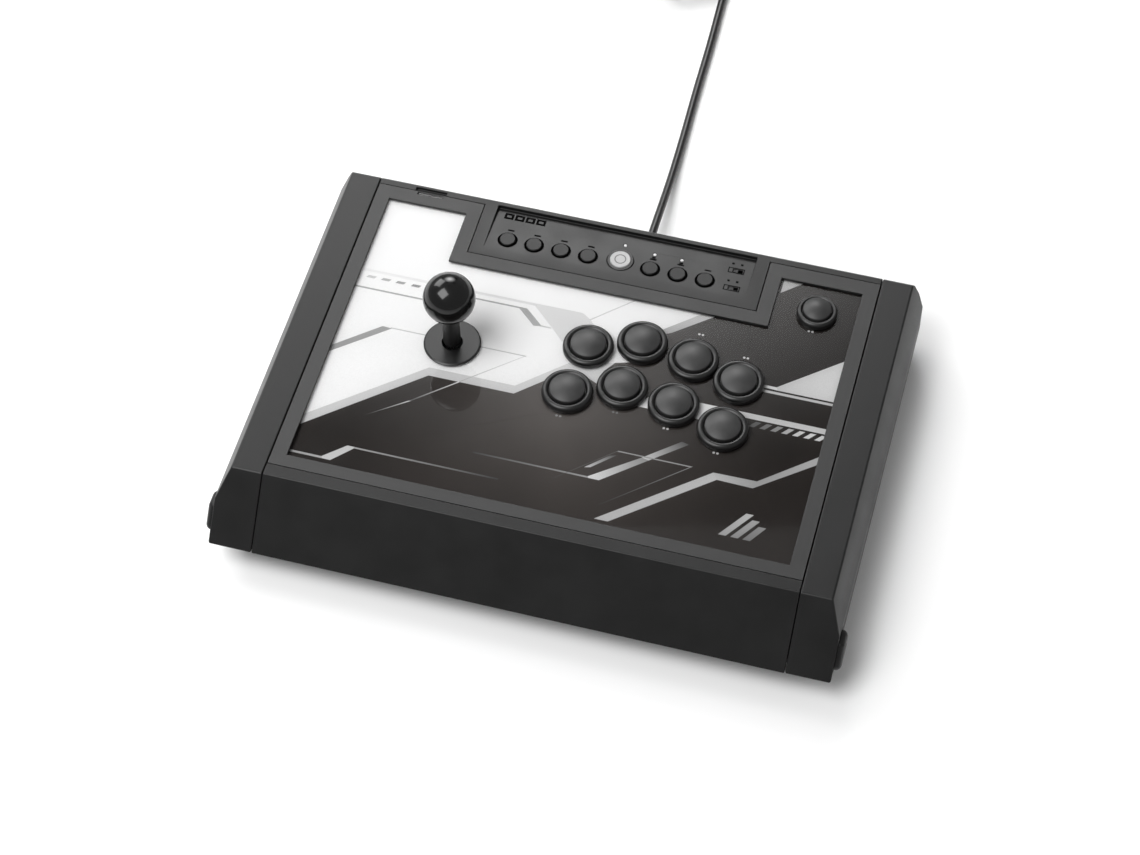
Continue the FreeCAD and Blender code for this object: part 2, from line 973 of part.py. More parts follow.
def ballProfile(radius, half):
    """Heights and radii of a ball cut flat above and below, as a short chain of chords."""
    steps = 6
    points = []
    for i in range(steps + 1):
        share = 2 * i / steps - 1
        height = half * share
        points.append((rootDifference(radius, height), height))
    return points


def rootDifference(radius, height):
    radius, height = size(radius), size(height)
    return Size(
        math.sqrt(radius.value**2 - height.value**2),
        "sqrt(%s * %s - %s * %s)" % (radius.text, radius.text, height.text, height.text),
    )


def sphere(radius, low=-90, high=90):
    item = doc.addObject("Part::Sphere", "Ball")
    bind(item, "Radius", radius)
    item.Angle1 = low
    item.Angle2 = high
    return item


def rod(radius, low, high):
    item = doc.addObject("Part::Cylinder", "Rod")
    bind(item, "Radius", radius)
    bind(item, "Height", size(high) - low)
    move(item, 0, 0, low)
    return item


def boolean(kind, base, tool):
    item = doc.addObject("Part::" + kind, kind)
    item.Base = base
    item.Tool = tool
    return item


def lever():
    """The joystick: fixed housing, bush that tips to the front and back, shaft that tips sideways."""
    x, y = leverPlace
    ballZ = topZ + s["ballHeight"] - pivotZ
    plateUnder = plateZ - pivotZ
    tipLow = -(pivotZ - (topZ - s["gateDepth"] - s["pivotDepth"])) - 3
    # shaft with its own pivot ball
    shaft = boolean(
        "Fuse", rod(s["shaftRadius"], tipLow, ballZ + s["ballRadius"] / 2), sphere(s["leverBall"])
    )
    move(shaft, x, y, pivotZ)
    keep(shaft, "lever_shaft")
    # bush: a ball with a ball-shaped seat inside, cut flat above and below
    block = boolean(
        "Common", sphere(s["bushRadius"]), rod(s["bushRadius"] + 1, -s["bushHalf"], s["bushHalf"])
    )
    bush = boolean("Cut", block, sphere(s["leverBall"] + s["ballFit"]))
    move(bush, x, y, pivotZ)
    keep(bush, "pivot_bush")
    # housing that hangs under the steel plate and holds the bush
    housing = newBody("lever_housing")
    half = s["housingSize"] / 2
    inner = half - s["housingWall"]
    gateTop = -s["gateDepth"] + s["gateThickness"]
    seat = s["bushHalf"] - BUSH_PROUD
    pad(housing, "XY", seat, plateUnder, rectangle(-half, -half, half, half))
    pocket(housing, "XY", seat, plateUnder, (0, 0, s["bushRadius"] + BUSH_ROOM))
    pad(housing, "XY", -seat, seat, rectangle(-half, -half, half, half))
    revolve(
        housing,
        [(0, -seat)] + ballProfile(s["bushRadius"] + s["ballFit"], seat) + [(0, seat)],
        cut=True,
    )
    for cx in (-1, 1):
        for cy in (-1, 1):
            corner = rectangle(cx * inner, cy * inner, cx * half, cy * half)
            pad(housing, "XY", gateTop, -seat, corner)
    move(housing, x, y, pivotZ)
    keep(housing)
    # square gate that limits the tilt
    gate = newBody("lever_gate")
    reach = s["gateDepth"] * math.tan(math.radians(SIZES["tiltAngle"] + GATE_SLACK)) + s["shaftRadius"]
    gateLow = -s["gateDepth"]
    pad(gate, "XY", gateLow, gateTop, rectangle(-half, -half, half, half))
    pocket(gate, "XY", gateLow, gateTop, rectangle(-reach, -reach, reach, reach))
    move(gate, x, y, pivotZ)
    keep(gate)
    # four switches round the actuator
    actuatorLow = gateTop + ACTUATOR_GAP
    clear = s["actuatorRadius"] + s["actuatorHeight"] * SWITCH_CLEARANCE
    switches = []
    for dx, dy in ((1, 0), (-1, 0), (0, 1), (0, -1)):
        item = doc.addObject("Part::Box", "Switch")
        length = s["switchDepth"] if dx else s["switchLength"]
        width = s["switchLength"] if dx else s["switchDepth"]
        bind(item, "Length", length)
        bind(item, "Width", width)
        bind(item, "Height", s["switchWidth"])
        cx = x + dx * (clear + s["switchDepth"] / 2) - length / 2
        cy = y + dy * (clear + s["switchDepth"] / 2) - width / 2
        move(item, cx, cy, pivotZ + gateTop)
        switches.append(item)
    group("lever_switches", switches)
    # actuator, clip and spring on the lower shaft
    actuatorHigh = actuatorLow + s["actuatorHeight"]
    bore = s["shaftRadius"] + s["ballFit"]
    keep(
        turned(
            "lever_actuator",
            rectangle(bore, actuatorLow, s["actuatorRadius"], actuatorHigh),
            x,
            y,
            pivotZ,
        )
    )
    clip = rectangle(bore, actuatorLow - CLIP[0], s["shaftRadius"] + CLIP[1], actuatorLow)
    keep(turned("retaining_clip", clip, x, y, pivotZ))
    spring(
        "centring_spring",
        s["leverBall"] - SPRING_INSET,
        LEVER_SPRING_WIRE,
        actuatorHigh,
        -s["bushHalf"] - SPRING_SEAT,
        SPRING_TURNS,
        (x, y, pivotZ),
        Rotation(),
    )
    # cover, ball top and dust washer
    low = topZ + COVER_LIFT - pivotZ
    coverBore = s["shaftRadius"] + s["coverFit"]
    high = ballZ - s["ballRadius"] + COVER_SINK
    keep(turned("shaft_cover", rectangle(coverBore, low, s["coverRadius"], high), x, y, pivotZ))
    socket = boolean(
        "Fuse",
        rod(s["coverRadius"] + s["coverFit"], ballZ - s["ballRadius"] - 1, high + MENU_SLACK),
        rod(s["shaftRadius"] + s["ballFit"], high, ballZ + s["ballRadius"] / 2 + STEM_CLEARANCE),
    )
    knob = sphere(s["ballRadius"])
    move(knob, 0, 0, ballZ)
    ball = boolean("Cut", knob, socket)
    move(ball, x, y, pivotZ)
    keep(ball, "ball_top")
    washer = turned(
        "dust_washer",
        [
            (s["washerHole"], 0),
            (s["washerRadius"], 0),
            (s["washerRadius"], s["washerThickness"] / 2),
            (s["washerRadius"] - WASHER_BEVEL, s["washerThickness"]),
            (s["washerHole"], s["washerThickness"]),
        ],
        x,
        y,
        bezelZ,
    )
    keep(washer)


def spring(label, radius, wire, low, high, turns, place, turn):
    """A closed-coil spring about its own axis, between two heights."""
    radius, wire, low, high = size(radius), size(wire), size(low), size(high)
    helix = doc.addObject("Part::Helix", "Coil")
    bind(helix, "Radius", radius)
    bind(helix, "Height", high - low - wire * 2)
    bind(helix, "Pitch", (high - low - wire * 2) / turns)
    helix.SegmentLength = SPRING_SEGMENT
    doc.recompute()
    section = doc.addObject("Part::Circle", "Wire")
    bind(section, "Radius", wire)
    section.Placement = Placement(Vector(radius.value, 0, 0), Rotation(Vector(1, 0, 0), 90))
    bind(section, "Placement.Base.x", radius)
    item = doc.addObject("Part::Sweep", "Spring")
    item.Sections = [section]
    item.Spine = (helix, ["Edge%d" % (n + 1) for n in range(len(helix.Shape.Edges))])
    item.Solid = True
    item.Frenet = True
    x, y, z = place
    along = turn.multVec(Vector(0, 0, 1))
    start = low + wire
    move(item, x + start * along.x, y + start * along.y, z + start * along.z, turn)
    return keep(item, label)


bellyLow = s["footHeight"]
floorTop = bellyLow + s["baseFloor"]
baseHalf = caseHalf
bandLow = rimZ - s["rimBand"]


def baseSection(inset, low):
    """The base seen from the front: upright band above, sides tapering in to the floor."""
    foot = baseHalf - s["bellyInset"] - inset
    top = baseHalf - inset
    return [(-foot, low), (foot, low), (top, bandLow), (top, rimZ), (-top, rimZ), (-top, bandLow)]


def springRib(side):
    """How far out the rib stands that a release button's spring pushes against."""
    return baseHalf - wall - s["releaseSpring"] - 12


def baseCase():
    """The tub: floor, tapering walls, hinge barrels at the back and release button notches."""
    body = newBody("base_case")
    baseFront = frontAt(rimZ, slopeWall) + 1
    pad(body, "XZ", baseFront, rearY, baseSection(0, bellyLow))
    over = 1
    pocket(
        body,
        "YZ",
        -baseHalf,
        baseHalf,
        [
            (baseFront, bellyLow),
            (baseFront + s["bellyInset"], bellyLow),
            (baseFront, bandLow),
        ],
    )
    inner = baseSection(wall, floorTop)
    inner = [(x, z if z.value < rimZ.value else z + over) for x, z in inner]
    pocket(body, "XZ", baseFront + s["bellyInset"] + wall, innerBack, inner)
    half = baseHalf - wall - 3
    pocket(
        body,
        "XY",
        bandLow,
        rimZ,
        rectangle(-half, baseFront + wall, half, baseFront + s["bellyInset"] + wall + over),
    )
    for side in (-1, 1):
        pocket(body, "XY", bellyLow, rimZ, rearCorner(side))
        ends = ordered(side * (baseHalf - wall - NOTCH_ROOM), side * (baseHalf + over))
        pocket(
            body,
            "YZ",
            *ends,
            releaseOutline(s["releaseGap"], s["releaseLow"] - s["releaseGap"])[:2]
            + [
                (frontY + s["releaseBack"] + s["releaseGap"], rimZ + over),
                (frontY - over, rimZ + over),
            ],
        )
        rib = ordered(side * springRib(side), side * (springRib(side) - RIB_THICKNESS))
        pad(
            body,
            "YZ",
            *rib,
            rectangle(ribFront, floorTop - LAP, ribBack, releaseTop - RIB_DROP),
        )
        middle = hingeAt(side)
        clear = (rearY, hingeZ, knuckleClear)
        pocket(body, "YZ", middle - baseKnuckle, middle + baseKnuckle, clear)
        for hand in (-1, 1):
            reach = ordered(middle + hand * baseKnuckle, middle + hand * baseKnuckleEnd)
            hingeBarrel(body, *reach)
            pocket(body, "YZ", *reach, (rearY, hingeZ, pinHole))
    feet = [(x, y, s["footSize"] + FOOT_FIT) for x, y in footPlaces()]
    pocket(body, "XY", bellyLow, bellyLow + s["footSink"], *feet)
    pocket(
        body,
        "XZ",
        innerBack,
        rearY,
        (s["cableX"], s["cableHeight"], s["reliefRadius"]),
    )
    pocket(body, "XY", bellyLow, floorTop, *[(x, y, s["screwRadius"]) for x, y in screwPlaces()])
    return keep(body)


ribBack = frontY + s["releaseBack"] - RIB_BACK_GAP
ribFront = ribBack - RIB_LENGTH


def footPlaces():
    dx = baseHalf - s["bellyInset"] - s["footInset"]
    low = frontY + s["bellyInset"] + s["footInset"]
    high = rearY - s["footInset"]
    return [(side * dx, y) for side in (-1, 1) for y in (low, high)]


def screwPlaces():
    dx = s["ballastLength"] / 2 - 12
    dy = s["ballastDepth"] / 2 - 12
    return [(a * dx, ballastY + b * dy) for a in (-1, 1) for b in (-1, 1)]


ballastY = frontY + s["bellyInset"] + s["footInset"] + s["ballastDepth"] / 2


def baseParts():
    feet = []
    for x, y in footPlaces():
        foot = doc.addObject("Part::Cylinder", "Foot")
        bind(foot, "Radius", s["footSize"])
        bind(foot, "Height", s["footHeight"] + s["footSink"])
        move(foot, x, y, 0)
        feet.append(foot)
    group("rubber_feet", feet)
    plate = newBody("ballast_plate")
    outline = rectangle(
        -s["ballastLength"] / 2,
        ballastY - s["ballastDepth"] / 2,
        s["ballastLength"] / 2,
        ballastY + s["ballastDepth"] / 2,
    )
    top = floorTop + s["ballastThickness"]
    pad(plate, "XY", floorTop, top, outline)
    pocket(plate, "XY", floorTop, top, *[(x, y, s["screwRadius"]) for x, y in screwPlaces()])
    keep(plate)
    screws = []
    for x, y in screwPlaces():
        body = turned(
            "screw",
            [
                (0, bellyLow - SCREW_HEAD_HEIGHT),
                (s["screwHead"], bellyLow - SCREW_HEAD_HEIGHT),
                (s["screwHead"], bellyLow),
                (s["screwRadius"] - SNUG, bellyLow),
                (s["screwRadius"] - SNUG, top + SCREW_TIP),
                (0, top + SCREW_TIP),
            ],
            x,
            y,
            0,
        )
        screws.append(body)
    group("ballast_screws", screws)
    pins = []
    for side in (-1, 1):
        pin = doc.addObject("Part::Cylinder", "Pin")
        bind(pin, "Radius", s["pinRadius"])
        bind(pin, "Height", baseKnuckleEnd * 2)
        turn = Rotation(Vector(0, 1, 0), 90)
        move(pin, hingeAt(side) - baseKnuckleEnd, rearY, hingeZ, turn)
        pins.append(pin)
    group("hinge_pins", pins)
    board = newBody("main_board")
    low = floorTop + POST_HEIGHT
    back = innerBack - MAIN_BOARD_GAP
    half, depth = MAIN_BOARD[0] / 2, MAIN_BOARD[1]
    pad(board, "XY", low, low + s["boardThickness"], rectangle(-half, back - depth, half, back))
    postX, postRows = half - POST_INSET, (back - depth + POST_INSET, back - POST_INSET)
    posts = [(x, y, POST_RADIUS) for x in (-postX, postX) for y in postRows]
    pad(board, "XY", floorTop, low, *posts)
    keep(board)


def releaseButton(side, label):
    """A side button: rounded cap in the wall's notch and a block behind it for the spring."""
    body = newBody(label)
    face = baseHalf + s["releaseProud"]
    back = baseHalf - wall - RELEASE_WALL_GAP
    ends = ordered(side * face, side * back)
    pad(body, "YZ", *ends, releaseOutline(0, s["releaseLow"]))
    corner = lesser(s["releaseCorner"], (releaseTop - s["releaseLow"]) * CORNER_SHARE)
    roundEdges(body, corner, along("x"))
    doc.recompute()
    block = ordered(side * back, side * (springRib(side) + s["releaseSpring"]))
    pad(
        body,
        "YZ",
        *block,
        rectangle(ribFront, s["releaseLow"] + 1, ribBack - LAP, releaseTop - BLOCK_DROP),
    )
    return keep(body)


def releaseSprings():
    springY = (ribFront + ribBack) / 2
    springZ = (s["releaseLow"] + releaseTop) / 2 - 1
    for side, label in ((-1, "left_release_spring"), (1, "right_release_spring")):
        place = (side * springRib(side), springY, springZ)
        turn = Rotation(Vector(0, 1, 0), 90 * side)
        spring(
            label,
            *RELEASE_SPRING,
            SNUG,
            s["releaseSpring"] - SNUG,
            SPRING_TURNS,
            place,
            turn,
        )


cordWidth = s["cableRadius"] * 2
outerTurn = s["coilMean"] + cordWidth * (s["coilColumns"] - 1) / 2
coilOuter = outerTurn + s["cableRadius"] + s["tailRoom"]
coilInner = s["coilMean"] - cordWidth * s["coilColumns"] / 2
coilHeight = cordWidth * s["coilRows"]
coilX = CORD_ROUTE[-1][0] - outerTurn
coilY = CORD_ROUTE[-1][1] + rootDifference(coilOuter, outerTurn) - 1


def cordPath():
    """Straight runs joined by tangent arcs, each arc as large as its two runs allow."""
    points = [Vector(*p) for p in CORD_ROUTE]
    edges = []
    at = points[0]
    for before, corner, after in zip(points, points[1:], points[2:]):
        inward = (corner - before).normalize()
        outward = (after - corner).normalize()
        turn = inward.getAngle(outward)
        shorter = min((corner - before).Length, (after - corner).Length)
        cut = 0.45 * shorter
        start = corner - inward * cut
        finish = corner + outward * cut
        radius = cut / math.tan(turn / 2)
        print("cord arc radius %.1f mm" % radius)
        centre = (outward - inward).normalize()
        middle = corner + centre * (radius / math.cos(turn / 2) - radius)
        edges.append(Part.LineSegment(at, start).toShape())
        edges.append(Part.Arc(start, middle, finish).toShape())
        at = finish
    edges.append(Part.LineSegment(at, points[-1]).toShape())
    return Part.Wire(edges)


def cord():
    path = cordPath()
    radius = SIZES["cableRadius"]
    first = Vector(*CORD_ROUTE[1]) - Vector(*CORD_ROUTE[0])
    section = Part.Wire([Part.Circle(Vector(*CORD_ROUTE[0]), first, radius).toShape()])
    tube = path.makePipeShell([section], True, True)
    expected = math.pi * radius**2 * path.Length
    print("cord run %.1f mm, volume %.4f of expected" % (path.Length, tube.Volume / expected))
    item = doc.addObject("Part::Feature", "Cord")
    item.Shape = tube
    group("usb_cable", [item, cordTail()])
    # tapered relief, in the rear wall
    relief = newBody("strain_relief")
    end = Vector(*CORD_ROUTE[0])
    length = end.y - (rearY - wall).value
    revolve(
        relief,
        [
            (0, -COLLAR[1]),
            (s["reliefRadius"] + COLLAR[0], -COLLAR[1]),
            (s["reliefRadius"] + COLLAR[0], 0),
            (s["reliefRadius"] - SNUG, 0),
            (s["reliefRadius"] - SNUG, wall + BOOT_STRAIGHT),
            (s["cableRadius"] + BOOT_LIP, length),
            (0, length),
        ],
    )
    turn = Rotation(Vector(1, 0, 0), -90)
    move(relief, s["cableX"], innerBack, s["cableHeight"], turn)
    keep(relief)
    coil = newBody("cable_coil")
    pad(coil, "XY", 0, coilHeight, (coilX, coilY, coilOuter), (coilX, coilY, coilInner))
    keep(coil)
    cableTie()
    usbPlug()


def tailPoint(along):
    """A point of the straight tail that leaves the coil, so far on from where it touches."""
    angle = math.radians(SIZES["tailAngle"])
    tail = outerTurn + cordWidth + TAIL_GAP
    x = coilX + tail * math.cos(angle) - along * math.sin(angle)
    y = coilY + tail * math.sin(angle) + along * math.cos(angle)
    return x, y


def tailStart():
    return rootDifference(coilOuter, outerTurn + cordWidth + TAIL_GAP) - 1


def cordTail():
    """The short straight stretch between the coil and the plug."""
    item = doc.addObject("Part::Cylinder", "Tail")
    bind(item, "Radius", s["cableRadius"])
    bind(item, "Height", s["tailLength"])
    turn = Rotation(Vector(0, 0, 1), SIZES["tailAngle"] + 90)
    turn = turn.multiply(Rotation(Vector(0, 1, 0), 90))
    move(item, *tailPoint(tailStart()), s["gripHeight"] / 2, turn)
    return item


def cableTie():
    """A flat band round the coil's turns, on the side that faces the case."""
    tie = newBody("cable_tie")
    t = s["tieThickness"]
    gap = TIE_GAP
    low = coilY - coilOuter - gap
    high = coilY - coilInner + gap
    ends = (coilX - s["tieWidth"] / 2, coilX + s["tieWidth"] / 2)
    pad(tie, "YZ", *ends, rectangle(low - t, coilHeight, high + t, coilHeight + t))
    pad(
        tie,
        "YZ",
        *ends,
        rectangle(low - t, TAIL_GAP, low, coilHeight + t),
        rectangle(high, TAIL_GAP, high + t, coilHeight + t),
    )
    keep(tie)


def usbPlug():
    """The plug lies beside the coil, where the cord's tail comes down and leaves it."""
    startX, startY = tailPoint(tailStart() + s["tailLength"])
    turn = Rotation(Vector(0, 0, 1), SIZES["tailAngle"] + 90)
    middle = s["gripHeight"] / 2
    grip = newBody("usb_plug_grip")
    halfGrip = s["gripWidth"] / 2
    pad(
        grip,
        "YZ",
        0,
        s["plugGripLength"],
        rectangle(-halfGrip, -middle, halfGrip, middle),
    )
    move(grip, startX, startY, middle, turn)
    keep(grip)
    shell = newBody("usb_plug_shell")
    half = s["plugWidth"] / 2
    tall = s["plugHeight"] / 2
    pad(
        shell,
        "YZ",
        s["plugGripLength"],
        s["plugGripLength"] + s["plugLength"],
        rectangle(-half, -tall, half, tall),
    )
    move(shell, startX, startY, middle, turn)
    keep(shell)


def acrylicStack():
    bezelFrame()
    layer("acrylic_window", windowZ, bezelZ, s["leverHole"])
    layer("art_sheet", artZ, windowZ, s["leverHole"])
    layer("steel_plate", plateZ, artZ, s["leverHole"])


def checkAll():
    doc.recompute()
    for item in doc.Objects:
        if "Invalid" in item.State or "Error" in item.State:
            raise RuntimeError("%s (%s) failed" % (item.Label, item.Name))
    for item in exported:
        if item.Shape.isNull() or not item.Shape.isValid() or not item.Shape.Solids:
            raise RuntimeError("%s has no good shape" % item.Label)


def main():
    upperCase()
    cheek(-1, "left_cheek")
    cheek(1, "right_cheek")
    acrylicStack()
    playControls()
    console()
    lever()
    baseCase()
    baseParts()
    releaseButton(-1, "left_release_button")
    releaseButton(1, "right_release_button")
    releaseSprings()
    cord()
    checkAll()
    os.makedirs("parts", exist_ok=True)
    for item in exported:
        item.Shape.exportStep("parts/%s.step" % item.Label)
    print("wrote %d sub-parts" % len(exported))


main()
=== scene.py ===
import math

import bmesh
import bpy
from mathutils import Matrix, Vector
from mathutils.geometry import delaunay_2d_cdt


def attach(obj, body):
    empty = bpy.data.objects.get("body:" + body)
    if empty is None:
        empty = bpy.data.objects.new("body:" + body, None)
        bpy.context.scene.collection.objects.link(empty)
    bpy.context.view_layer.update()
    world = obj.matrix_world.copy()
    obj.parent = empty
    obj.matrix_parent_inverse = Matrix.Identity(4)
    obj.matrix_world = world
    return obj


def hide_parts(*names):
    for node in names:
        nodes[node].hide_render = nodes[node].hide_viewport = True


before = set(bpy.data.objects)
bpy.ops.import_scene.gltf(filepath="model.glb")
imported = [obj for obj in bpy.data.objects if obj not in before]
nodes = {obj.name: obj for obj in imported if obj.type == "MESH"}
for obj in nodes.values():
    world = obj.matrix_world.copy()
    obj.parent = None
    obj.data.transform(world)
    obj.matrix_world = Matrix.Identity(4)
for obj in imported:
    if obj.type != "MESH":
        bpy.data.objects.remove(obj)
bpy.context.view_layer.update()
mm = 0.001

# where the camera stands
camera = {
    "spot": (0.3049, -1.07275, 1.5915),
    "forward": (-0.15983, 0.55682, -0.81515),
    "roll": -1.061,  # degrees
    "lens": 90.2,
    "sensor": 36.0,
}
eyeData = bpy.data.cameras.new("panelCamera")
eyeData.lens = camera["lens"]
eyeData.sensor_width = camera["sensor"]
eyeData.clip_start = 0.05
eye = bpy.data.objects.new("panelCamera", eyeData)
bpy.context.scene.collection.objects.link(eye)
lookRound = Vector(camera["forward"]).to_track_quat("-Z", "Y").to_matrix().to_4x4()
rollRound = Matrix.Rotation(math.radians(camera["roll"]), 4, "Z")
eye.matrix_world = Matrix.Translation(camera["spot"]) @ lookRound @ rollRound
bpy.context.scene.camera = eye
print("camera placed")


# node helpers for the finishes
def newFinish(name):
    finish = bpy.data.materials.new(name)
    finish.use_nodes = True
    tree = finish.node_tree
    where = tree.nodes.new("ShaderNodeTexCoord").outputs["Object"]
    return finish, tree, tree.nodes["Principled BSDF"], where


def noise(tree, where, scale, detail=3.0):
    node = tree.nodes.new("ShaderNodeTexNoise")
    node.inputs["Scale"].default_value = scale
    node.inputs["Detail"].default_value = detail
    tree.links.new(where, node.inputs["Vector"])
    return node.outputs["Fac"]


def spread(tree, value, low, high, fromLow=0.35, fromHigh=0.65):
    node = tree.nodes.new("ShaderNodeMapRange")
    node.inputs["From Min"].default_value = fromLow
    node.inputs["From Max"].default_value = fromHigh
    node.inputs["To Min"].default_value = low
    node.inputs["To Max"].default_value = high
    tree.links.new(value, node.inputs["Value"])
    return node.outputs["Result"]


def tint(tree, share, first, second):
    node = tree.nodes.new("ShaderNodeMix")
    node.data_type = "RGBA"
    for socket, value in zip((node.inputs[0], node.inputs[6], node.inputs[7]), (share, first, second)):
        if isinstance(value, bpy.types.NodeSocket):
            tree.links.new(value, socket)
        else:
            socket.default_value = value
    return node.outputs[2]


def sums(tree, kind, first, second=None):
    node = tree.nodes.new("ShaderNodeMath")
    node.operation = kind
    for socket, value in zip(node.inputs, (first, second)):
        if isinstance(value, bpy.types.NodeSocket):
            tree.links.new(value, socket)
        elif value is not None:
            socket.default_value = value
    return node.outputs[0]


def relief(tree, shader, height, strength, depth):
    node = tree.nodes.new("ShaderNodeBump")
    node.inputs["Strength"].default_value = strength
    node.inputs["Distance"].default_value = depth
    tree.links.new(height, node.inputs["Height"])
    tree.links.new(node.outputs["Normal"], shader.inputs["Normal"])


def shade(tone, warm=0.0):
    # a tone as the eye reads it, turned to the shader's own scale
    level = tone ** 2.2
    return (level * (1 + warm), level, level * (1 - warm), 1.0)


# plastics, rubbers and metals that differ only in grain, shine and tone
def grainedFinish(name, look):
    finish, tree, shader, where = newFinish(name)
    mottle = noise(tree, where, look["mottle"])
    grain = noise(tree, where, look["grain"], 2.0)
    colour = tint(tree, spread(tree, mottle, 0.0, 1.0), look["dark"], look["light"])
    tree.links.new(colour, shader.inputs["Base Color"])
    low, high = look["rough"]
    both = sums(tree, "ADD", sums(tree, "MULTIPLY", mottle, 0.6), sums(tree, "MULTIPLY", grain, 0.4))
    tree.links.new(spread(tree, both, low, high), shader.inputs["Roughness"])
    shader.inputs["Metallic"].default_value = look.get("metal", 0.0)
    shader.inputs["Specular IOR Level"].default_value = look.get("gleam", 0.5)
    shader.inputs["Coat Weight"].default_value = look.get("coat", 0.0)
    shader.inputs["Coat Roughness"].default_value = look.get("coatRough", 0.05)
    relief(tree, shader, grain, look["bump"], look["depth"])
    return finish


casePlastic = grainedFinish("casePlastic", {
    "dark": shade(0.06), "light": shade(0.075), "mottle": 40, "grain": 1500,
    "rough": (0.38, 0.46), "bump": 0.22, "depth": 0.00006, "gleam": 0.38,
})
bezelPlastic = grainedFinish("bezelPlastic", {
    "dark": shade(0.1), "light": shade(0.125), "mottle": 55, "grain": 1900,
    "rough": (0.44, 0.54), "bump": 0.4, "depth": 0.00008, "gleam": 0.55,
})
capPlastic = grainedFinish("capPlastic", {
    "dark": shade(0.17), "light": shade(0.2), "mottle": 90, "grain": 2600,
    "rough": (0.42, 0.5), "bump": 0.12, "depth": 0.00003, "gleam": 0.48,
})
rimPlastic = grainedFinish("rimPlastic", {
    "dark": shade(0.08), "light": shade(0.1), "mottle": 90, "grain": 2600,
    "rough": (0.3, 0.4), "bump": 0.12, "depth": 0.00003,
})
ballLacquer = grainedFinish("ballLacquer", {
    "dark": shade(0.06), "light": shade(0.08), "mottle": 60, "grain": 220,
    "rough": (0.16, 0.22), "bump": 0.03, "depth": 0.00005, "gleam": 0.2, "coat": 0.45, "coatRough": 0.04,
})
whitePlastic = grainedFinish("whitePlastic", {
    "dark": shade(0.6), "light": shade(0.64), "mottle": 120, "grain": 2400,
    "rough": (0.3, 0.4), "bump": 0.08, "depth": 0.00003,
})
brightSteel = grainedFinish("brightSteel", {
    "dark": shade(0.7), "light": shade(0.8), "mottle": 180, "grain": 3000,
    "rough": (0.2, 0.34), "bump": 0.1, "depth": 0.00003, "metal": 1.0,
})
coatedSteel = grainedFinish("coatedSteel", {
    "dark": shade(0.14), "light": shade(0.18), "mottle": 60, "grain": 1000,
    "rough": (0.4, 0.5), "bump": 0.2, "depth": 0.00004, "metal": 0.5,
})
zincPlate = grainedFinish("zincPlate", {
    "dark": shade(0.62, 0.02), "light": shade(0.64), "mottle": 300, "grain": 1600,
    "rough": (0.34, 0.5), "bump": 0.15, "depth": 0.00004, "metal": 1.0,
})
blackNylon = grainedFinish("blackNylon", {
    "dark": shade(0.13), "light": shade(0.17), "mottle": 70, "grain": 1200,
    "rough": (0.5, 0.62), "bump": 0.2, "depth": 0.00005,
})
darkInk = grainedFinish("darkInk", {
    "dark": shade(0.02), "light": shade(0.04), "mottle": 200, "grain": 1800,
    "rough": (0.7, 0.85), "bump": 0.05, "depth": 0.00002, "gleam": 0.05,
})
greySilicone = grainedFinish("greySilicone", {
    "dark": shade(0.42), "light": shade(0.48), "mottle": 60, "grain": 1400,
    "rough": (0.6, 0.72), "bump": 0.15, "depth": 0.00004, "gleam": 0.35,
})
footRubber = grainedFinish("footRubber", {
    "dark": shade(0.1), "light": shade(0.15), "mottle": 90, "grain": 1100,
    "rough": (0.7, 0.85), "bump": 0.35, "depth": 0.0001, "gleam": 0.3,
})
switchBlack = grainedFinish("switchBlack", {
    "dark": shade(0.12), "light": shade(0.16), "mottle": 100, "grain": 1700,
    "rough": (0.45, 0.55), "bump": 0.15, "depth": 0.00004,
})
leadJacket = grainedFinish("leadJacket", {
    "dark": shade(0.09), "light": shade(0.12), "mottle": 120, "grain": 1500,
    "rough": (0.3, 0.4), "bump": 0.12, "depth": 0.00004,
})
milkyLens = grainedFinish("milkyLens", {
    "dark": shade(0.72), "light": shade(0.8), "mottle": 300, "grain": 2400,
    "rough": (0.2, 0.3), "bump": 0.05, "depth": 0.00003,
})
plugMetal = grainedFinish("plugMetal", {
    "dark": shade(0.68), "light": shade(0.78), "mottle": 160, "grain": 2600,
    "rough": (0.22, 0.34), "bump": 0.08, "depth": 0.00003, "metal": 1.0,
})


# clear parts: the glare comes by Fresnel, the rest shows what is behind
def clearFinish(name, look):
    finish, tree, shader, where = newFinish(name)
    tree.nodes.remove(shader)
    glare = tree.nodes.new("ShaderNodeBsdfGlossy")
    smear = spread(tree, noise(tree, where, look["smear"]), *look["rough"])
    tree.links.new(smear, glare.inputs["Roughness"])
    through = tree.nodes.new("ShaderNodeBsdfTransparent")
    through.inputs["Color"].default_value = look["tone"]
    edge = tree.nodes.new("ShaderNodeFresnel")
    edge.inputs["IOR"].default_value = look["bend"]
    both = tree.nodes.new("ShaderNodeMixShader")
    tree.links.new(edge.outputs[0], both.inputs[0])
    tree.links.new(through.outputs[0], both.inputs[1])
    tree.links.new(glare.outputs[0], both.inputs[2])
    tree.links.new(both.outputs[0], tree.nodes["Material Output"].inputs["Surface"])
    return finish


windowAcrylic = clearFinish("windowAcrylic", {
    "smear": 30, "rough": (0.015, 0.05), "tone": (0.99, 0.99, 0.99, 1.0), "bend": 1.49,
})


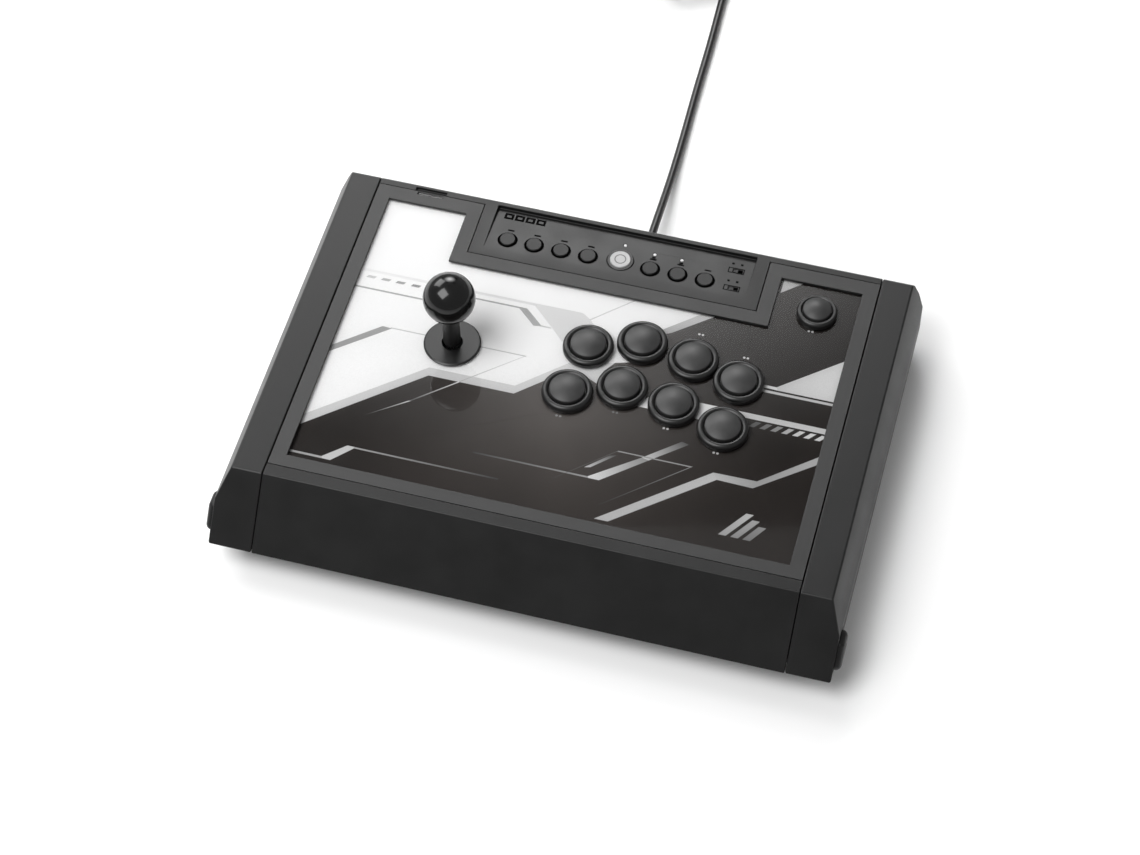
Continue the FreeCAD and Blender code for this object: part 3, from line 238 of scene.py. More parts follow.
# green board with thin tracks and tinned spots under the lacquer
def boardFinish(name, look):
    finish, tree, shader, where = newFinish(name)
    step = tree.nodes.new("ShaderNodeTexBrick")
    step.inputs["Scale"].default_value = look["tracks"]
    step.inputs["Mortar Size"].default_value = look["trackWidth"]
    step.inputs["Brick Width"].default_value = look["trackLength"]
    tree.links.new(where, step.inputs["Vector"])
    cloudy = spread(tree, noise(tree, where, look["mottle"]), 0.0, 1.0)
    lacquer = tint(tree, cloudy, look["dark"], look["light"])
    tracked = tint(tree, step.outputs["Fac"], lacquer, look["track"])
    spots = tree.nodes.new("ShaderNodeTexVoronoi")
    spots.inputs["Scale"].default_value = look["spots"]
    tree.links.new(where, spots.inputs["Vector"])
    tinned = spread(tree, spots.outputs["Distance"], 1.0, 0.0, *look["spotEdge"])
    tree.links.new(tint(tree, tinned, tracked, look["tin"]), shader.inputs["Base Color"])
    tree.links.new(sums(tree, "MULTIPLY", tinned, look["metal"]), shader.inputs["Metallic"])
    tree.links.new(spread(tree, tinned, *look["rough"], 0.0, 1.0), shader.inputs["Roughness"])
    relief(tree, shader, sums(tree, "ADD", step.outputs["Fac"], tinned), 0.3, 0.00005)
    return finish


boardGreen = boardFinish("boardGreen", {
    "tracks": 320, "trackWidth": 0.05, "trackLength": 1.7, "mottle": 60,
    "spots": 210, "spotEdge": (0.14, 0.17), "metal": 0.9, "rough": (0.38, 0.28),
    "dark": (0.006, 0.05, 0.018, 1), "light": (0.012, 0.09, 0.03, 1),
    "track": (0.02, 0.15, 0.05, 1), "tin": (0.6, 0.6, 0.58, 1),
})


# the printed sheet: a slanting weave in black and brown, darker towards the edges, with painted glare in the
# middle: a soft pale pool put into the print's colour, standing in for the softbox's reflection on the window
sheetLook = {
    "weave": 150, "slant": 38, "contrast": 0.07, "clouds": 14, "mottle": 9, "rough": (0.5, 0.6),
    "black": (0.008, 0.0052, 0.004, 1), "brown": (0.018, 0.0125, 0.01, 1),
    # painted glare: its pale tone (which the weave's pale threads share), its centre and its reach
    "threadAndPaintedGlareTone": (0.13, 0.115, 0.107, 1), "paintedGlareSpot": (-0.005, -0.022, 0.059), "paintedGlareReach": 0.16,
}


def sheetFinish(name, look):
    finish, tree, shader, where = newFinish(name)
    threads = []
    for angle in (look["slant"], look["slant"] - 90):
        turn = tree.nodes.new("ShaderNodeMapping")
        turn.inputs["Rotation"].default_value = (0, 0, math.radians(angle))
        tree.links.new(where, turn.inputs["Vector"])
        bands = tree.nodes.new("ShaderNodeTexWave")
        bands.inputs["Scale"].default_value = look["weave"]
        tree.links.new(turn.outputs["Vector"], bands.inputs["Vector"])
        threads.append(bands.outputs["Fac"])
    crossing = sums(tree, "MULTIPLY", *threads)
    # painted glare: the print is lightened towards a spot, fading out by the reach and broken up by soft
    # clouds of noise
    away = tree.nodes.new("ShaderNodeVectorMath")
    away.operation = "DISTANCE"
    tree.links.new(where, away.inputs[0])
    away.inputs[1].default_value = look["paintedGlareSpot"]
    glow = spread(tree, away.outputs["Value"], 1.0, 0.0, 0.0, look["paintedGlareReach"])
    soft = sums(tree, "MULTIPLY", glow, glow)
    cloudy = sums(tree, "MULTIPLY", soft, spread(tree, noise(tree, where, look["clouds"]), 0.75, 1.0))
    mottle = spread(tree, noise(tree, where, look["mottle"]), 0.0, 1.0)
    base = tint(tree, mottle, look["black"], look["brown"])
    # the painted glare goes into the base colour here, and the weave's pale threads are mixed towards the
    # same tone
    lit = tint(tree, cloudy, base, look["threadAndPaintedGlareTone"])
    woven = tint(tree, sums(tree, "MULTIPLY", crossing, look["contrast"]), lit, look["threadAndPaintedGlareTone"])
    tree.links.new(woven, shader.inputs["Base Color"])
    tree.links.new(spread(tree, crossing, *look["rough"], 0.0, 1.0), shader.inputs["Roughness"])
    relief(tree, shader, crossing, 0.04, 0.00003)
    return finish


artWeave = sheetFinish("artWeave", sheetLook)


# the pale inks: their tone is kept in the print's own colours, with a fine screen of dots over it
def inkFinish(name, look):
    finish, tree, shader, where = newFinish(name)
    tones = tree.nodes.new("ShaderNodeVertexColor")
    tones.layer_name = look["layer"]
    dots = noise(tree, where, look["dots"], 1.0)
    share = spread(tree, dots, 0.0, look["fade"])
    inked = tint(tree, share, tones.outputs["Color"], look["under"])
    tree.links.new(inked, shader.inputs["Base Color"])
    tree.links.new(spread(tree, dots, 0.45, 0.6), shader.inputs["Roughness"])
    relief(tree, shader, dots, 0.05, 0.00002)
    return finish


printInk = inkFinish("printInk", {"layer": "ink", "dots": 1400, "fade": 0.08, "under": (0.3, 0.3, 0.3, 1)})
print("finishes made")


# building helpers
def place(name, mesh, body, slotName, finish, hides=()):
    piece = bpy.data.objects.new(name, mesh)
    bpy.context.scene.collection.objects.link(piece)
    mesh.materials.append(finish)
    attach(piece, body)
    if hides:
        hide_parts(*hides)
    return piece


def smoothed(mesh, angle=35):
    mesh.shade_smooth()
    mesh.set_sharp_from_angle(angle=math.radians(angle))


def softEdges(piece, width, rounds=3, angle=28):
    edge = piece.modifiers.new("softEdges", "BEVEL")
    edge.width = width
    edge.segments = rounds
    edge.limit_method = "ANGLE"
    edge.angle_limit = math.radians(angle)
    edge.use_clamp_overlap = False
    edge.harden_normals = True
    smoothed(piece.data, 30)


# a moulded part: the frame's own shape with its edges rounded off
def moulded(name, node, body, slotName, finish, width):
    source = nodes[node].data
    build = bmesh.new()
    corners = [build.verts.new(v.co) for v in source.vertices]
    for face in source.polygons:
        build.faces.new([corners[i] for i in face.vertices])
    bmesh.ops.remove_doubles(build, verts=build.verts, dist=0.01 * mm)
    bmesh.ops.dissolve_limit(build, angle_limit=math.radians(0.6), verts=build.verts, edges=build.edges)
    mesh = bpy.data.meshes.new(name)
    build.to_mesh(mesh)
    build.free()
    piece = place(name, mesh, body, slotName, finish, [node])
    softEdges(piece, width)
    return piece


# a wide rounding on the picked edges only
def roundPicked(piece, width, picked, rounds=6):
    edge = piece.modifiers["softEdges"]
    edge.limit_method = "WEIGHT"
    edge.width = width
    edge.segments = rounds
    build = bmesh.new()
    build.from_mesh(piece.data)
    chosen = [picked([v.co for v in line.verts]) for line in build.edges]
    build.free()
    weights = piece.data.attributes.new("bevel_weight_edge", "FLOAT", "EDGE")
    for item, isChosen in zip(weights.data, chosen):
        item.value = float(isChosen)


# a profile of (radius, height, rounding) turned to (radius, height) points
def eased(corners, closed=False, steps=4):
    points = []
    count = len(corners)
    for i, (radius, height, ease) in enumerate(corners):
        here = Vector((radius, height))
        if ease == 0 or (not closed and i in (0, count - 1)):
            points.append(here)
            continue
        before = Vector(corners[i - 1][:2]) - here
        after = Vector(corners[(i + 1) % count][:2]) - here
        start = here + before.normalized() * ease
        end = here + after.normalized() * ease
        for k in range(steps + 1):
            t = k / steps
            points.append(start * (1 - t) ** 2 + here * 2 * t * (1 - t) + end * t ** 2)
    return points


# a profile in mm turned round an axis through a spot
def turned(name, points, spot, axis="Z", closed=False, steps=72):
    build = bmesh.new()
    rings = []
    for radius, height in points:
        ring = []
        for k in range(steps if radius > 1e-6 else 1):
            angle = 2 * math.pi * k / steps
            across, along = radius * math.cos(angle), radius * math.sin(angle)
            offset = (across, along, height) if axis == "Z" else (across, height, -along)
            ring.append(build.verts.new((Vector(spot) + Vector(offset)) * mm))
        rings.append(ring)
    for low, high in zip(rings, rings[1:] + ([rings[0]] if closed else [])):
        for k in range(steps):
            lower = [low[k % len(low)], low[(k + 1) % len(low)]]
            upper = [high[(k + 1) % len(high)], high[k % len(high)]]
            build.faces.new(list(dict.fromkeys(lower + upper)))
    bmesh.ops.recalc_face_normals(build, faces=build.faces)
    mesh = bpy.data.meshes.new(name)
    build.to_mesh(mesh)
    build.free()
    smoothed(mesh)
    return mesh


def block(build, low, high, place=Matrix()):
    made = bmesh.ops.create_cube(build, size=1.0)["verts"]
    size = Vector(high) - Vector(low)
    middle = (Vector(high) + Vector(low)) / 2
    for v in made:
        v.co = place @ (Vector([c * s for c, s in zip(v.co, size)]) + middle)
    return made


# the lead: out of the back, down to the table and straight away, then wound up and tied
lead = {
    "exit": (8, 179.25, 14),
    "run": [
        (8, 179.25, 14), (8, 195, 14), (7.6, 220, 9.6), (6.8, 250, 4.8), (5.8, 288, 3.1),
        (4.2, 332, 3.1), (3.4, 380, 3.1), (1.6, 420, 3.1), (0.8, 446.4, 3.1),
    ],
    "length": 3000, "thickness": 6,
    "coilSpot": (-39.2, 474.56),
    "turns": [
        (40, 3), (34, 3), (28, 3), (28, 9), (34, 9), (40, 9),
        (40, 15), (34, 15), (28, 15), (28, 21), (34, 21), (40, 21),
    ],
    "middleTurn": 34, "stepsPerTurn": 24,
    "shiftFrom": 0.78,  # the share of a turn after which it moves to the next place
    "tail": [
        (15, 41.2, 21), (30, 44, 20.6), (45, 46.2, 19.2), (60, 46.5, 16.8), (75, 46.5, 13.9),
        (90, 46.5, 11), (105, 46.4, 8.4), (120, 46.3, 6.2), (135, 46.2, 4.8), (150, 46.2, 4.25),
    ],
    "leave": (-0.5, -0.8660254), "straight": (9, 20), "plugFrom": 31.8, "intoGrip": 5,
}


def coilPoint(angle, radius, height):
    x, y = lead["coilSpot"]
    return (x + radius * math.cos(angle), y + radius * math.sin(angle), height)


def coilPoints(look):
    points = []
    count = look["stepsPerTurn"]
    turns = look["turns"]
    gap = look["thickness"]
    for k, (radius, height) in enumerate(turns):
        nextRadius, nextHeight = turns[min(k + 1, len(turns) - 1)]
        for i in range(count):
            share = i / count
            t = max(0.0, (share - look["shiftFrom"]) / (1 - look["shiftFrom"]))
            f = t * t * (3 - 2 * t)
            bulge = 0.0
            if nextHeight != height:
                # a turn that climbs swings clear of its neighbours
                swing = max(math.sqrt(1 - f * f) - (1 - f), math.sqrt(1 - (1 - f) ** 2) - f)
                bulge = gap * swing * (1 if radius > look["middleTurn"] else -1)
            here = radius + (nextRadius - radius) * f + bulge
            points.append(coilPoint(2 * math.pi * share, here, height + (nextHeight - height) * f))
    return points


tailPoints = [coilPoint(math.radians(a), r, z) for a, r, z in lead["tail"]]
leaveX, leaveY = lead["leave"]
lastX, lastY, lastZ = tailPoints[-1]
plugReach = lead["plugFrom"] + lead["intoGrip"]
for reach in (*lead["straight"], plugReach):
    tailPoints.append((lastX + leaveX * reach, lastY + leaveY * reach, lastZ))
leadPoints = lead["run"] + coilPoints(lead) + tailPoints

leadCurve = bpy.data.curves.new("usbLead", "CURVE")
leadCurve.dimensions = "3D"
leadSpline = leadCurve.splines.new("NURBS")
leadSpline.points.add(len(leadPoints) - 1)
for point, (x, y, z) in zip(leadSpline.points, leadPoints):
    point.co = (x * mm, y * mm, z * mm, 1)
leadSpline.order_u = 3
leadSpline.use_endpoint_u = True
leadCurve.resolution_u = 4
leadCurve.bevel_depth = lead["thickness"] * mm / 2
leadCurve.bevel_resolution = 5
leadCurve.use_fill_caps = True
usbLead = place("usbLead", leadCurve, "base", "cord_jacket", leadJacket, ["usb_cable", "cable_coil"])
print("lead laid")

# the tapered boot where the lead leaves the case
boot = {
    "spot": (8, 0, 14), "ribs": 6, "ribStart": 2.4, "ribPitch": 3.6, "ribDepth": 0.7,
    "ribShape": ((0, 0), (0.5, 1), (1.5, 1), (2.0, 0)),  # (distance on, share of the depth)
    "inside": [(3.1, 140.65, 0), (6.0, 140.65, 0.5), (6.5, 141.4, 0.3), (6.5, 148.0, 0.2)],
    "root": (5.9, 151.5), "tip": (4.0, 179.25), "tipRound": (0.5, 0.6), "bore": 3.02,
}


def bootProfile(look):
    corners = list(look["inside"])
    (rootRadius, rootPlace), (tipRadius, tipPlace) = look["root"], look["tip"]
    corners.append((rootRadius, rootPlace, 0.3))
    for k in range(look["ribs"]):
        start = rootPlace + look["ribStart"] + k * look["ribPitch"]
        for offset, deep in look["ribShape"]:
            share = (start + offset - rootPlace) / (tipPlace - rootPlace)
            radius = rootRadius + (tipRadius - rootRadius) * share
            corners.append((radius - deep * look["ribDepth"], start + offset, 0.2))
    inward, back = look["tipRound"]
    corners += [
        (tipRadius, tipPlace - back, 0.2), (tipRadius - inward, tipPlace, 0.1), (look["bore"], tipPlace, 0),
    ]
    return eased(corners, closed=True, steps=2)


bootMesh = turned("leadBoot", bootProfile(boot), boot["spot"], axis="Y", closed=True, steps=48)
place("leadBoot", bootMesh, "base", "cord_jacket", leadJacket, ["strain_relief"])

# the plug lies beside the coil
plug = {
    "grip": (34, 15.5, 8.5), "waist": 0.12, "mouth": (0.78, 0.82), "sections": 18, "around": 32,
    "squareness": 0.35,  # nearer 0 is more of a box, 1 is an ellipse
    "ribs": 5, "ribFrom": 10, "ribPitch": 3.2, "ribWidth": 1.4, "ribHalf": 2.6, "ribReach": (0.7, 0.5),
    "ribSeat": 0.75,  # the share of the waist that the ribs follow
    "shell": (12, 12, 4.5), "wall": 0.35, "tongue": (10.5, 11.0, 1.5), "tongueRoot": 0.2,
}
plugStart = Vector((lastX, lastY, lastZ)) + Vector((leaveX, leaveY, 0)) * lead["plugFrom"]
plugTurn = Matrix.Rotation(math.atan2(leaveY, leaveX), 4, "Z")
plugPlace = Matrix.Translation(plugStart * mm) @ plugTurn @ Matrix.Scale(mm, 4)


def gripRow(build, look, k):
    length, width, height = look["grip"]
    share = k / look["sections"]
    narrow = 1 - look["waist"] * math.sin(math.pi * share) ** 2
    mouthWide, mouthHigh = look["mouth"] if k == 0 else (1, 1)
    row = []
    for i in range(look["around"]):
        angle = 2 * math.pi * i / look["around"]
        c, s = math.cos(angle), math.sin(angle)
        wide = math.copysign(abs(c) ** look["squareness"], c) * width / 2 * narrow * mouthWide
        high = math.copysign(abs(s) ** look["squareness"], s) * height / 2 * mouthHigh
        row.append(build.verts.new(plugPlace @ Vector((length * share, wide, high))))
    return row


def gripMesh(look):
    build = bmesh.new()
    around = look["around"]
    rows = [gripRow(build, look, k) for k in range(look["sections"] + 1)]
    for first, second in zip(rows, rows[1:]):
        for i in range(around):
            build.faces.new((first[i], first[(i + 1) % around], second[(i + 1) % around], second[i]))
    build.faces.new(rows[0])
    build.faces.new(rows[-1])
    bmesh.ops.recalc_face_normals(build, faces=build.faces)
    inward, outward = look["ribReach"]
    for side in (-1, 1):
        edge = side * look["grip"][1] / 2 * (1 - look["waist"] * look["ribSeat"])
        for k in range(look["ribs"]):
            start = look["ribFrom"] + look["ribPitch"] * k
            low = (start, edge - inward, -look["ribHalf"])
            high = (start + look["ribWidth"], edge + outward, look["ribHalf"])
            block(build, low, high, plugPlace)
    mesh = bpy.data.meshes.new("plugGrip")
    build.to_mesh(mesh)
    build.free()
    smoothed(mesh, 40)
    return mesh


def blocksMesh(name, boxes):
    build = bmesh.new()
    for low, high in boxes:
        block(build, low, high, plugPlace)
    mesh = bpy.data.meshes.new(name)
    build.to_mesh(mesh)
    build.free()
    return mesh


def shellBoxes(look):
    start = look["grip"][0]
    length, width, height = look["shell"]
    end, side, top, wall = start + length, width / 2, height / 2, look["wall"]
    return [
        ((start, -side, top - wall), (end, side, top)),
        ((start, -side, -top), (end, side, -top + wall)),
        ((start, side - wall, -top + wall), (end, side, top - wall)),
        ((start, -side, -top + wall), (end, -side + wall, top - wall)),
    ]


def tongueBoxes(look):
    start = look["grip"][0]
    length, width, height = look["tongue"]
    floor = -look["shell"][2] / 2 + look["wall"]
    return [((start - look["tongueRoot"], -width / 2, floor), (start + length, width / 2, floor + height))]


plugGrip = place("plugGrip", gripMesh(plug), "base", "cord_jacket", leadJacket, ["usb_plug_grip"])
shellMesh = blocksMesh("plugShell", shellBoxes(plug))
plugShell = place("plugShell", shellMesh, "base", "plug_metal", plugMetal, ["usb_plug_shell"])
tongueMesh = blocksMesh("plugTongue", tongueBoxes(plug))
plugTongue = place("plugTongue", tongueMesh, "base", "cord_jacket", whitePlastic)
softEdges(plugTongue, 0.1 * mm)

leadTie = moulded("leadTie", "cable_tie", "base", "cord_jacket", blackNylon, 0.3 * mm)
print("plug, boot and tie made")

# the case and the frame round the window, with soft moulded edges
mouldings = [
    ("lidShell", "upper_case", "lid", "case_plastic", casePlastic, 0.55),
    ("leftCheek", "left_cheek", "lid", "case_plastic", casePlastic, 1.0),
    ("rightCheek", "right_cheek", "lid", "case_plastic", casePlastic, 1.0),
    ("baseTray", "base_case", "base", "case_plastic", casePlastic, 0.35),
    ("windowFrame", "bezel_frame", "lid", "bezel_plastic", bezelPlastic, 0.3),
]
for name, node, body, slotName, finish, width in mouldings:
    moulded(name, node, body, slotName, finish, width * mm)

# the side buttons bulge: only the rim of the outer face is rounded, and deeply
latch = {"outer": 212.9, "round": 4.0}


def atOuterFace(ends):
    return all(abs(v.x) > latch["outer"] * mm for v in ends)


for side in ("left", "right"):
    node = side + "_release_button"
    button = moulded(side + "LatchButton", node, node, "button_plastic", casePlastic, latch["round"] * mm)
    roundPicked(button, latch["round"] * mm, atOuterFace)
print("case mouldings made")

# snap-in buttons: a rounded rim with a deep gap round a domed cap
buttonLook = {
    "play": [(-0.4, 39.05), (34, 51.05), (70.4, 45.65), (103.8, 35.35),
             (-4.3, -0.55), (30.1, 11.75), (66.5, 6.75), (102.3, -4.15)],
    "playSizes": {"rim": 17.25, "barrel": 14.9, "cap": 12.2},
    "option": (141.5, 105.75),
    "optionSizes": {"rim": 13.85, "barrel": 12, "cap": 9.8},
    "seat": 61, "rimTop": 66, "roof": 64, "barrelEnd": 44, "floor": 46, "stem": 2.5,
    "gap": 0.3, "flange": 0.7, "crown": 70, "crownDrop": 2.5, "capEdge": 67.1, "flangeTop": 63.7,
    "flangeLow": 61.3, "stemEnd": 49.5, "capShrink": 0.15, "capSkin": 1.8, "ceiling": 65,
    "domeReach": 0.94, "domeSteps": 8, "shoulder": 1.6, "brow": 1.5, "lipDrop": 1.1,
}


def rimProfile(look, sizes):
    rim, barrel, cap = sizes["rim"], sizes["barrel"], sizes["cap"]
    lip = cap + look["gap"]
    bore = lip + look["flange"]
    top, seat, brow = look["rimTop"], look["seat"], look["brow"]
    return eased([
        (barrel, seat, 0), (rim, seat, 0.3), (rim, top - look["shoulder"], 1.1), (rim - brow, top, 1.2),
        (lip + brow, top, 0.8), (lip, top - look["lipDrop"], 0.3), (lip, look["roof"], 0),
        (bore, look["roof"], 0), (bore, look["floor"], 0), (look["stem"] + look["gap"], look["floor"], 0),
        (look["stem"] + look["gap"], look["barrelEnd"], 0), (barrel, look["barrelEnd"], 0.6),
    ], closed=True)


def capProfile(look, sizes):
    cap = sizes["cap"] - look["capShrink"]
    crown = []
    for k in range(look["domeSteps"] + 1):
        share = k / look["domeSteps"]
        crown.append((cap * look["domeReach"] * share, look["crown"] - look["crownDrop"] * share ** 2, 0))
    flange = sizes["cap"] + look["flange"]
    inner, ceiling = cap - look["capSkin"], look["ceiling"]
    return eased(crown + [
        (cap, look["capEdge"], 0.5), (cap, look["flangeTop"], 0), (flange, look["flangeTop"], 0.2),
        (flange, look["flangeLow"], 0.2), (inner, look["flangeLow"], 0), (inner, ceiling, 0),
        (look["stem"], ceiling, 0), (look["stem"], look["stemEnd"], 0.3), (0, look["stemEnd"], 0),
    ])


def joined(name, meshes):
    build = bmesh.new()
    for mesh in meshes:
        build.from_mesh(mesh)
        bpy.data.meshes.remove(mesh)
    mesh = bpy.data.meshes.new(name)
    build.to_mesh(mesh)
    build.free()
    smoothed(mesh)
    return mesh


playRim = rimProfile(buttonLook, buttonLook["playSizes"])
playCap = capProfile(buttonLook, buttonLook["playSizes"])
rimMeshes = [turned("rim", playRim, (x, y, 0), closed=True) for x, y in buttonLook["play"]]
place("playRims", joined("playRims", rimMeshes), "lid", "button_plastic", rimPlastic, ["button_housings"])
optionSpot = (*buttonLook["option"], 0)
optionRim = turned("optionRim", rimProfile(buttonLook, buttonLook["optionSizes"]), optionSpot, closed=True)
place("optionRim", optionRim, "lid", "button_plastic", rimPlastic, ["option_housing"])
for k, (x, y) in enumerate(buttonLook["play"]):
    row = "upper" if k < 4 else "lower"
    body = "%s_button_%d" % (row, k % 4 + 1)
    capMesh = turned("cap", playCap, (x, y, 0))
    place("%sCap%d" % (row, k % 4 + 1), capMesh, body, "button_plastic", capPlastic, [body])
optionCap = turned("optionCap", capProfile(buttonLook, buttonLook["optionSizes"]), optionSpot)
place("optionCap", optionCap, "option_button", "button_plastic", capPlastic, ["option_button"])
print("buttons made")

# finishes for the parts that keep the frame's shape
for finish, names in (
    (casePlastic, [n for n in nodes if n.startswith("menu_button")]),
    (casePlastic, ["shaft_cover", "upper_mode_switch", "lower_mode_switch"]),
    (rimPlastic, ["dust_washer", "home_ring"]),
    (ballLacquer, ["ball_top"]),
    (whitePlastic, ["home_button"]),
    (windowAcrylic, ["acrylic_window"]),
    (milkyLens, ["indicator_lenses"]),
    (artWeave, ["art_sheet"]),
    (coatedSteel, ["steel_plate"]),
    (zincPlate, ["ballast_plate"]),
    (brightSteel, ["ballast_screws", "hinge_pins", "lever_shaft", "retaining_clip", "centring_spring"]),
    (brightSteel, ["left_release_spring", "right_release_spring"]),
    (blackNylon, ["lever_housing", "lever_gate", "lever_actuator", "pivot_bush"]),
    (boardGreen, ["main_board", "function_board"]),
    (greySilicone, ["key_membrane"]),
    (switchBlack, ["button_switches", "lever_switches"]),
    (footRubber, ["rubber_feet"]),
):
    for name in names:
        nodes[name].material_slots[0].material = finish
print("frame parts dressed")

# the print on the sheet: (tone, far tone, outline), the far tone being reached at the outline's far end
artPrint = {
    "layer": "ink", "height": 59.02, "lift": 16.25,
    "shapes": [
        # white ground with its silver edge
        (0.97, 0.97, [
            (-168.6, 115.6), (-168.6, -76), (-99.5, -18.5), (-40, -18.5), (-9.5, 9.3), (8, 14), (18, 16),
            (29, 19.5), (31, 38), (42, 50.5), (66.8, 71.8), (68, 73.2), (-113, 73.2), (-113, 115.6),
        ]),
        (0.82, 0.86, [
            (-168.6, -84.5), (-98, -25), (-39, -25), (-16, -4), (1, 2), (12, -3), (14, 8), (20, 17),
            (18, 16), (8, 14), (-9.5, 9.3), (-40, -18.5), (-99.5, -18.5), (-168.6, -76),
        ]),
        (0.66, 0.86, [
            (36, 44), (50, 50.5), (76, 72), (77, 73.2), (68, 73.2), (66.8, 71.8), (42, 50.5), (33, 43),
        ]),
        # grey patch and the lines that lead to it
        (0.85, 0.87, [
            (-47.5, 51.8), (-45, 49.6), (-29.5, 35), (-19.5, 25), (0, 28), (0, 42), (-6, 48), (-12, 52),
        ]),
        (0.93, 0.85, [(-168.6, 51.8), (-168.6, 49.6), (-45, 49.6), (-47.5, 51.8)]),
        (0.8, 0.8, [(-6.2, 47.7), (-5.6, 47.1), (21.3, 72.3), (20.3, 72.3)]),
        (0.6, 0.6, [(-100, 46.1), (-100, 44.9), (-54.8, 44.9), (-54.5, 46.1)]),
        (0.6, 0.66, [(-54.5, 46.1), (-54.8, 44.9), (-41.5, 33), (-36, 34), (-49.5, 46.1)]),
        (0.68, 0.8, [(-37.6, 33.5), (-29.3, 33.5), (-29.3, 34.5), (-36, 34.6)]),
        (0.62, 0.62, [(-168.6, 36.2), (-168.6, 34.9), (-100, 34.9), (-100, 36.2)]),
        # lower bar, its thin line and the return
        (0.6, 0.6, [(-168.6, -17), (-168.6, -22.5), (-133.3, 6.5), (-140, 6.9)]),
        (0.74, 0.74, [(-134, 7.2), (-134.6, 6.4), (-39.6, 6.4), (-38.8, 7.2)]),
        (0.76, 0.76, [(-39.4, 7.1), (-40.5, 6.6), (-77.4, -24.9), (-76.2, -24.9)]),
        (0.95, 0.3, [(-76.2, -24.9), (-77.4, -24.9), (-105, -48.4), (-103, -47.9)]),
        (0.95, 0.24, [(-105, -48.4), (-103, -47.9), (-131.5, -68.2)]),
        # line along the lower left
        (0.66, 0.75, [(-168.6, -105.6), (-168.6, -107.2), (-146, -107.2), (-145.7, -105.6)]),
        (0.85, 0.85, [(-147, -105.6), (-146, -107.2), (-140.5, -107.2), (-127, -93.2), (-133, -93.2)]),
        (0.7, 0.27, [(-128, -93.2), (-129, -94.4), (-30, -94.4), (-30, -93.2)]),
        # lower middle: streak, its line, and the thin outline
        (0.75, 0.27, [(33.4, -76.8), (33, -78), (-52, -78), (-52, -76.8)]),
        (0.97, 0.62, [(25.6, -76.8), (26.5, -78), (33.5, -78), (61, -54.6), (56, -53.6)]),
        (0.9, 0.34, [(56, -53.6), (61, -54.6), (83.5, -35.8), (78.4, -34.6)]),
        (0.9, 0.32, [(21.5, -70.5), (25.5, -69.5), (40, -55.8), (35, -57.6)]),
        (0.68, 0.68, [(40, -52.1), (39.4, -53), (88, -53), (90, -52.1)]),
        (0.6, 0.3, [(40, -52.2), (39, -52.9), (3, -84.8), (3.4, -84.9)]),
        (0.6, 0.22, [(90, -52.2), (88.6, -52.6), (37, -97.4), (37.4, -97.6)]),
        # silver band across the lower right
        (0.8, 0.84, [(38, -107.6), (47.2, -107.6), (107.5, -58.2), (104, -53.2)]),
        (0.84, 0.7, [(104, -53.2), (107.5, -58.2), (131.5, -58.8), (133, -52.8)]),
        (0.7, 0.8, [(133, -52.8), (131.5, -58.8), (168.6, -29.8), (168.6, -23.2)]),
        # bar and slanted dashes at the right
        (0.95, 0.95, [(40.5, -14.3), (52, -0.9), (112, -0.9), (96, -14.3)]),
        (0.86, 0.9, [(110, -5.2), (110, -0.9), (168.6, -0.9), (168.6, -5.2)]),
        # triangle and its strip
        (0.86, 0.93, [(128.6, 24.3), (130, 21.8), (168.6, 21.8), (168.6, 57.2)]),
        (0.93, 0.93, [(119, 24.3), (119, 22.2), (130, 21.8), (128.6, 24.3)]),
        (0.84, 0.84, [(119, 20.4), (119, 18.4), (168.6, 18.4), (168.6, 20.4)]),
        # corner piece at the rear right
        (0.86, 0.72, [(113.6, 115.6), (113.6, 102.6), (128.5, 115.6)]),
        # three plain bars where the sheet carries a badge
        (0.7, 0.85, [(118, -99), (123, -99), (137, -79), (132, -79)]),
        (0.6, 0.75, [(126, -99), (131, -99), (142, -83), (137, -83)]),
        (0.5, 0.65, [(134, -99), (139, -99), (147, -87), (142, -87)]),
    ],
    # slanting dashes: low and high edge, width, lean, then (start, tone) of each
    "dashRows": [
        (44.5, 46.6, 5.8, 1.4, [(-163.6, 0.78), (-153.2, 0.68), (-142.8, 0.58), (-131.8, 0.5)]),
        (-11.4, -6.6, 3.8, 4.2, [
            (117.5, 0.4), (124.8, 0.5), (132.2, 0.62), (139.6, 0.8),
            (147, 0.92), (154.4, 0.95), (161.8, 0.95),
        ]),
    ],
    # pairs of dots beside the buttons: (across, back, tone)
    "dots": [
        (69.8, 54.3, 0.9), (103.5, 42.8, 0.9), (65.5, -27, 0.85), (101.8, -37.8, 0.85),
        (-5.5, -35, 0.6), (30, -22.8, 0.5), (140.5, 75.5, 0.85),
    ],
    "dotSize": 1.8, "dotGap": 2.5, "dotSteps": 12,
    "playHole": 15.5, "optionHole": 12.6, "leverHole": 17.5, "lever": (-89.8, 19.75),
}


def ring(x, y, radius, steps=40):
    angles = [2 * math.pi * k / steps for k in range(steps)]
    return [(x + radius * math.cos(angle), y + radius * math.sin(angle)) for angle in angles]


def area(outline):
    return sum(a[0] * b[1] - b[0] * a[1] for a, b in zip(outline, outline[1:] + outline[:1])) / 2


def printShapes(look):
    shapes = list(look["shapes"])
    for low, high, width, lean, dashes in look["dashRows"]:
        for start, tone in dashes:
            upper = start + lean
            outline = [(start, low), (start + width, low), (upper + width, high), (upper, high)]
            shapes.append((tone, tone, outline))
    for x, y, tone in look["dots"]:
        for side in (-0.5, 0.5):
            dot = ring(x + side * look["dotGap"], y, look["dotSize"] / 2, look["dotSteps"])
            shapes.append((tone, tone, dot))
    return shapes


def printHoles(look):
    holes = [(x, y, look["playHole"]) for x, y in buttonLook["play"]]
    holes.append((*buttonLook["option"], look["optionHole"]))
    holes.append((*look["lever"], look["leverHole"]))
    return [ring(x, y - look["lift"], radius) for x, y, radius in holes]


